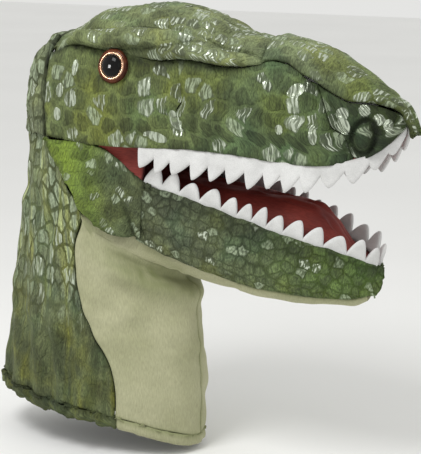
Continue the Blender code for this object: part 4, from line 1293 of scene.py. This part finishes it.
thumb_sack = pocket((0.040, 0, -0.0390), 0.080, 0.024, 0.0155)
for name, shape, inside, motion in (
    ("sleeve_lining", round_neck(0.0052, None, TURN_HEIGHT - 0.0005), SLEEVE_CORE, dict(bend=SLEEVE_BEND)),
    ("glove_cuff", round_neck(0.0068, TURN_HEIGHT + 0.0005, TURN_HEIGHT + 0.021), SLEEVE_CORE,
     dict(body="wrist")),
    ("finger_pocket", pocket((0.030, 0, 0.2390), 0.115, 0.038, 0.0165), (0.09, 0, 0.239), dict(body="head")),
    ("thumb_pocket", lambda u, v: from_jaw(thumb_sack(u, v)), (0.090, 0, 0.154), dict(body="jaw")),
):
    piece = sewn_panel(f"cloth_{name}", shape, inside, spacing=0.0032, tucks=(0, 0, 0, 0), wall=LINING,
                       wrinkle=0.0004, wrinkle_size=0.016, seed=19, crowd=0.0)
    cloth_piece(piece, knit, "lining_knit", **motion)

# ---------------------------------------------------------------- Stuffing
# Loose polyester fibre packed between the skin and the hand pockets, in the crown, the snout and
# the chin. It swells into soft lumps wherever the cloth lets it.
FIBREFILL = soft_material(
    "fibrefill", [(0.30, (0.62, 0.62, 0.59)), (0.65, (0.86, 0.86, 0.84))],
    dict(scale=240.0, detail=5.0, distortion=1.5), raised=(0.8, 0.0012), roughness=0.95, sheen=0.3)
CROWN_FILL_FOOT = 0.2590


def crown_fill(u, v):
    x = -0.012 + 0.157 * v
    turn = 2 * math.pi * u
    close = np.clip(np.sin(math.pi * v), 0, 1) ** 0.4
    half, top = HEAD_HALF(x) - 0.016, TOP(x) - 0.008
    rise = (top - CROWN_FILL_FOOT) * (0.5 + 0.5 * np.sin(turn)) ** 0.8
    return stack(x, half * close * np.cos(turn), CROWN_FILL_FOOT + rise * close)


def lobe(x, half, low, high, u, v):
    """A closed oval form, of the given half width, foot and top at each x, blunt at its back."""
    turn = 2 * math.pi * u
    close = np.sin(math.pi * np.clip(0.12 + 0.88 * v, 0, 1)) ** 0.5
    close = np.where((v < 1e-5) | (v > 0.99999), 0, close)
    return stack(x, half * close * np.cos(turn), (low + high) / 2 + (high - low) / 2 * close * np.sin(turn))


def snout_fill(u, v):
    x = 0.150 + 0.085 * v
    return lobe(x, HEAD_HALF(x) - 0.009, LIP(x) + 0.0062, TOP(x) - 0.0082, u, v)


def jaw_fill(u, v):
    x = 0.124 + 0.078 * v
    low, high = JAW_LIP(x) - JAW_DEPTH(x) + 0.0050, JAW_LIP(x) - 0.0066
    return from_jaw(lobe(x, JAW_HALF(x) - 0.0078, low, high, u, v))


for name, shape, body, seed in (
    ("crown_filling", crown_fill, "head", 91),
    ("snout_filling", snout_fill, "head", 92),
    ("jaw_filling", jaw_fill, "jaw", 93),
):
    bm, uv = flat_grid(48, 32)
    points = shape(uv[:, 0], uv[:, 1])
    middle = points.mean(axis=0)
    points = middle + (points - middle) * (1 + 0.020 * ripple(points, 0.016, seed))[:, None]
    for vertex, at in zip(bm.verts, points):
        vertex.co = at
    bmesh.ops.remove_doubles(bm, verts=bm.verts, dist=2e-5)
    bmesh.ops.recalc_face_normals(bm, faces=bm.faces)
    piece = finished(f"stuffed_{name}", bm, material=FIBREFILL)
    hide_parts(name)
    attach(piece, body)

# ---------------------------------------------------------------- Eyes
# Ringed plastic eyes: a black dome inside a thin copper ring, on a glossy brown flange, moulded
# with the stem that passes through the cheek into a lock washer. A felt ring sits behind.
EYE_X, EYE_ANGLE = 0.039, 26
PUPIL_RADIUS, COPPER_RADIUS, FLANGE_RADIUS, STEM_RADIUS = 0.0084, 0.0099, 0.0128, 0.0024
RIM = 0.0018
STEM_END = -0.0090
EYE_STEPS = 56

EYE_COLOURS = [
    soft_material(f"eye {name}", [(0.35, low), (0.65, high)], dict(scale=scale), roughness=roughness,
                  metallic=metallic, ior=1.22)
    for name, low, high, roughness, metallic, scale in (
        ("pupil", (0.003, 0.003, 0.003), (0.006, 0.005, 0.005), 0.04, 0.0, 90.0),
        ("copper", (0.36, 0.20, 0.12), (0.62, 0.40, 0.27), 0.25, 0.8, 300.0),
        ("brown", (0.030, 0.009, 0.005), (0.075, 0.022, 0.010), 0.12, 0.0, 160.0),
    )
]
EYE_FELT = soft_material(
    "eye felt", [(0.3, (0.030, 0.012, 0.008)), (0.7, (0.075, 0.032, 0.020))],
    dict(scale=1500.0, detail=3.0), raised=(0.5, 0.0004), roughness=0.95, sheen=0.2)
WASHER = soft_material(
    "washer plastic", [(0.3, (0.72, 0.72, 0.70)), (0.7, (0.82, 0.82, 0.80))], dict(scale=200.0),
    roughness=0.4)

# (radius, height) down the eye's moulding from the top of its dome to the end of its stem
DOME = [
    (PUPIL_RADIUS * math.sin(turn), RIM + 0.0012 + 0.0042 * math.cos(turn))
    for turn in np.linspace(0, math.pi / 2, 9)
]
COPPER_RING = [
    (PUPIL_RADIUS + 0.0002, RIM + 0.0016), (PUPIL_RADIUS + 0.0006, RIM + 0.0023),
    (COPPER_RADIUS - 0.0004, RIM + 0.0024), (COPPER_RADIUS, RIM + 0.0018),
]
FLANGE = [
    (COPPER_RADIUS + 0.0002, RIM + 0.0014), (COPPER_RADIUS + 0.0012, RIM + 0.0019),
    (FLANGE_RADIUS - 0.0010, RIM + 0.0010), (FLANGE_RADIUS, RIM - 0.0002),
    (FLANGE_RADIUS - 0.0006, RIM - 0.0006), (STEM_RADIUS, RIM - 0.0006),
    (STEM_RADIUS, STEM_END), (0, STEM_END),
]

for side, word in SIDES:
    at, ahead, above = (
        Vector(head_point(side, EYE_X + forward, EYE_ANGLE + up))
        for forward, up in ((0, 0), (0.001, 0), (0, 0.5))
    )
    outward = (ahead - at).cross(above - at).normalized()
    outward = outward if outward.y * side > 0 else -outward
    seat = Matrix.Translation(at) @ outward.to_track_quat("Z", "Y").to_matrix().to_4x4()
    bm = bmesh.new()
    line = [bm.verts.new((radius, 0, height)) for radius, height in DOME + COPPER_RING + FLANGE]
    edges = [bm.edges.new(pair) for pair in zip(line, line[1:])]
    bmesh.ops.spin(bm, geom=line + edges, cent=(0, 0, 0), axis=(0, 0, 1), angle=2 * math.pi,
                   steps=EYE_STEPS, use_merge=True)
    bmesh.ops.remove_doubles(bm, verts=bm.verts, dist=1e-6)
    bmesh.ops.recalc_face_normals(bm, faces=bm.faces)
    for face in bm.faces:
        centre = face.calc_center_median()
        radius = math.hypot(centre.x, centre.y)
        if centre.z > RIM and radius > COPPER_RADIUS + 0.0001 or centre.z < RIM + 0.0008:
            face.material_index = 2
        elif radius > PUPIL_RADIUS + 0.0001:
            face.material_index = 1
    bmesh.ops.transform(bm, matrix=seat, verts=bm.verts)
    piece = finished(f"ringed_eye_{word}", bm)
    for made in EYE_COLOURS:
        piece.data.materials.append(made)
    eyes_only.objects.link(piece)
    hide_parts(f"eye_{word}")
    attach(piece, "head")
    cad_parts[f"eye_felt_{word}"].material_slots[0].material = EYE_FELT
    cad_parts[f"eye_washer_{word}"].material_slots[0].material = WASHER

# ---------------------------------------------------------------- Close
# The view layer is brought up to date at the close.
bpy.context.view_layer.update()
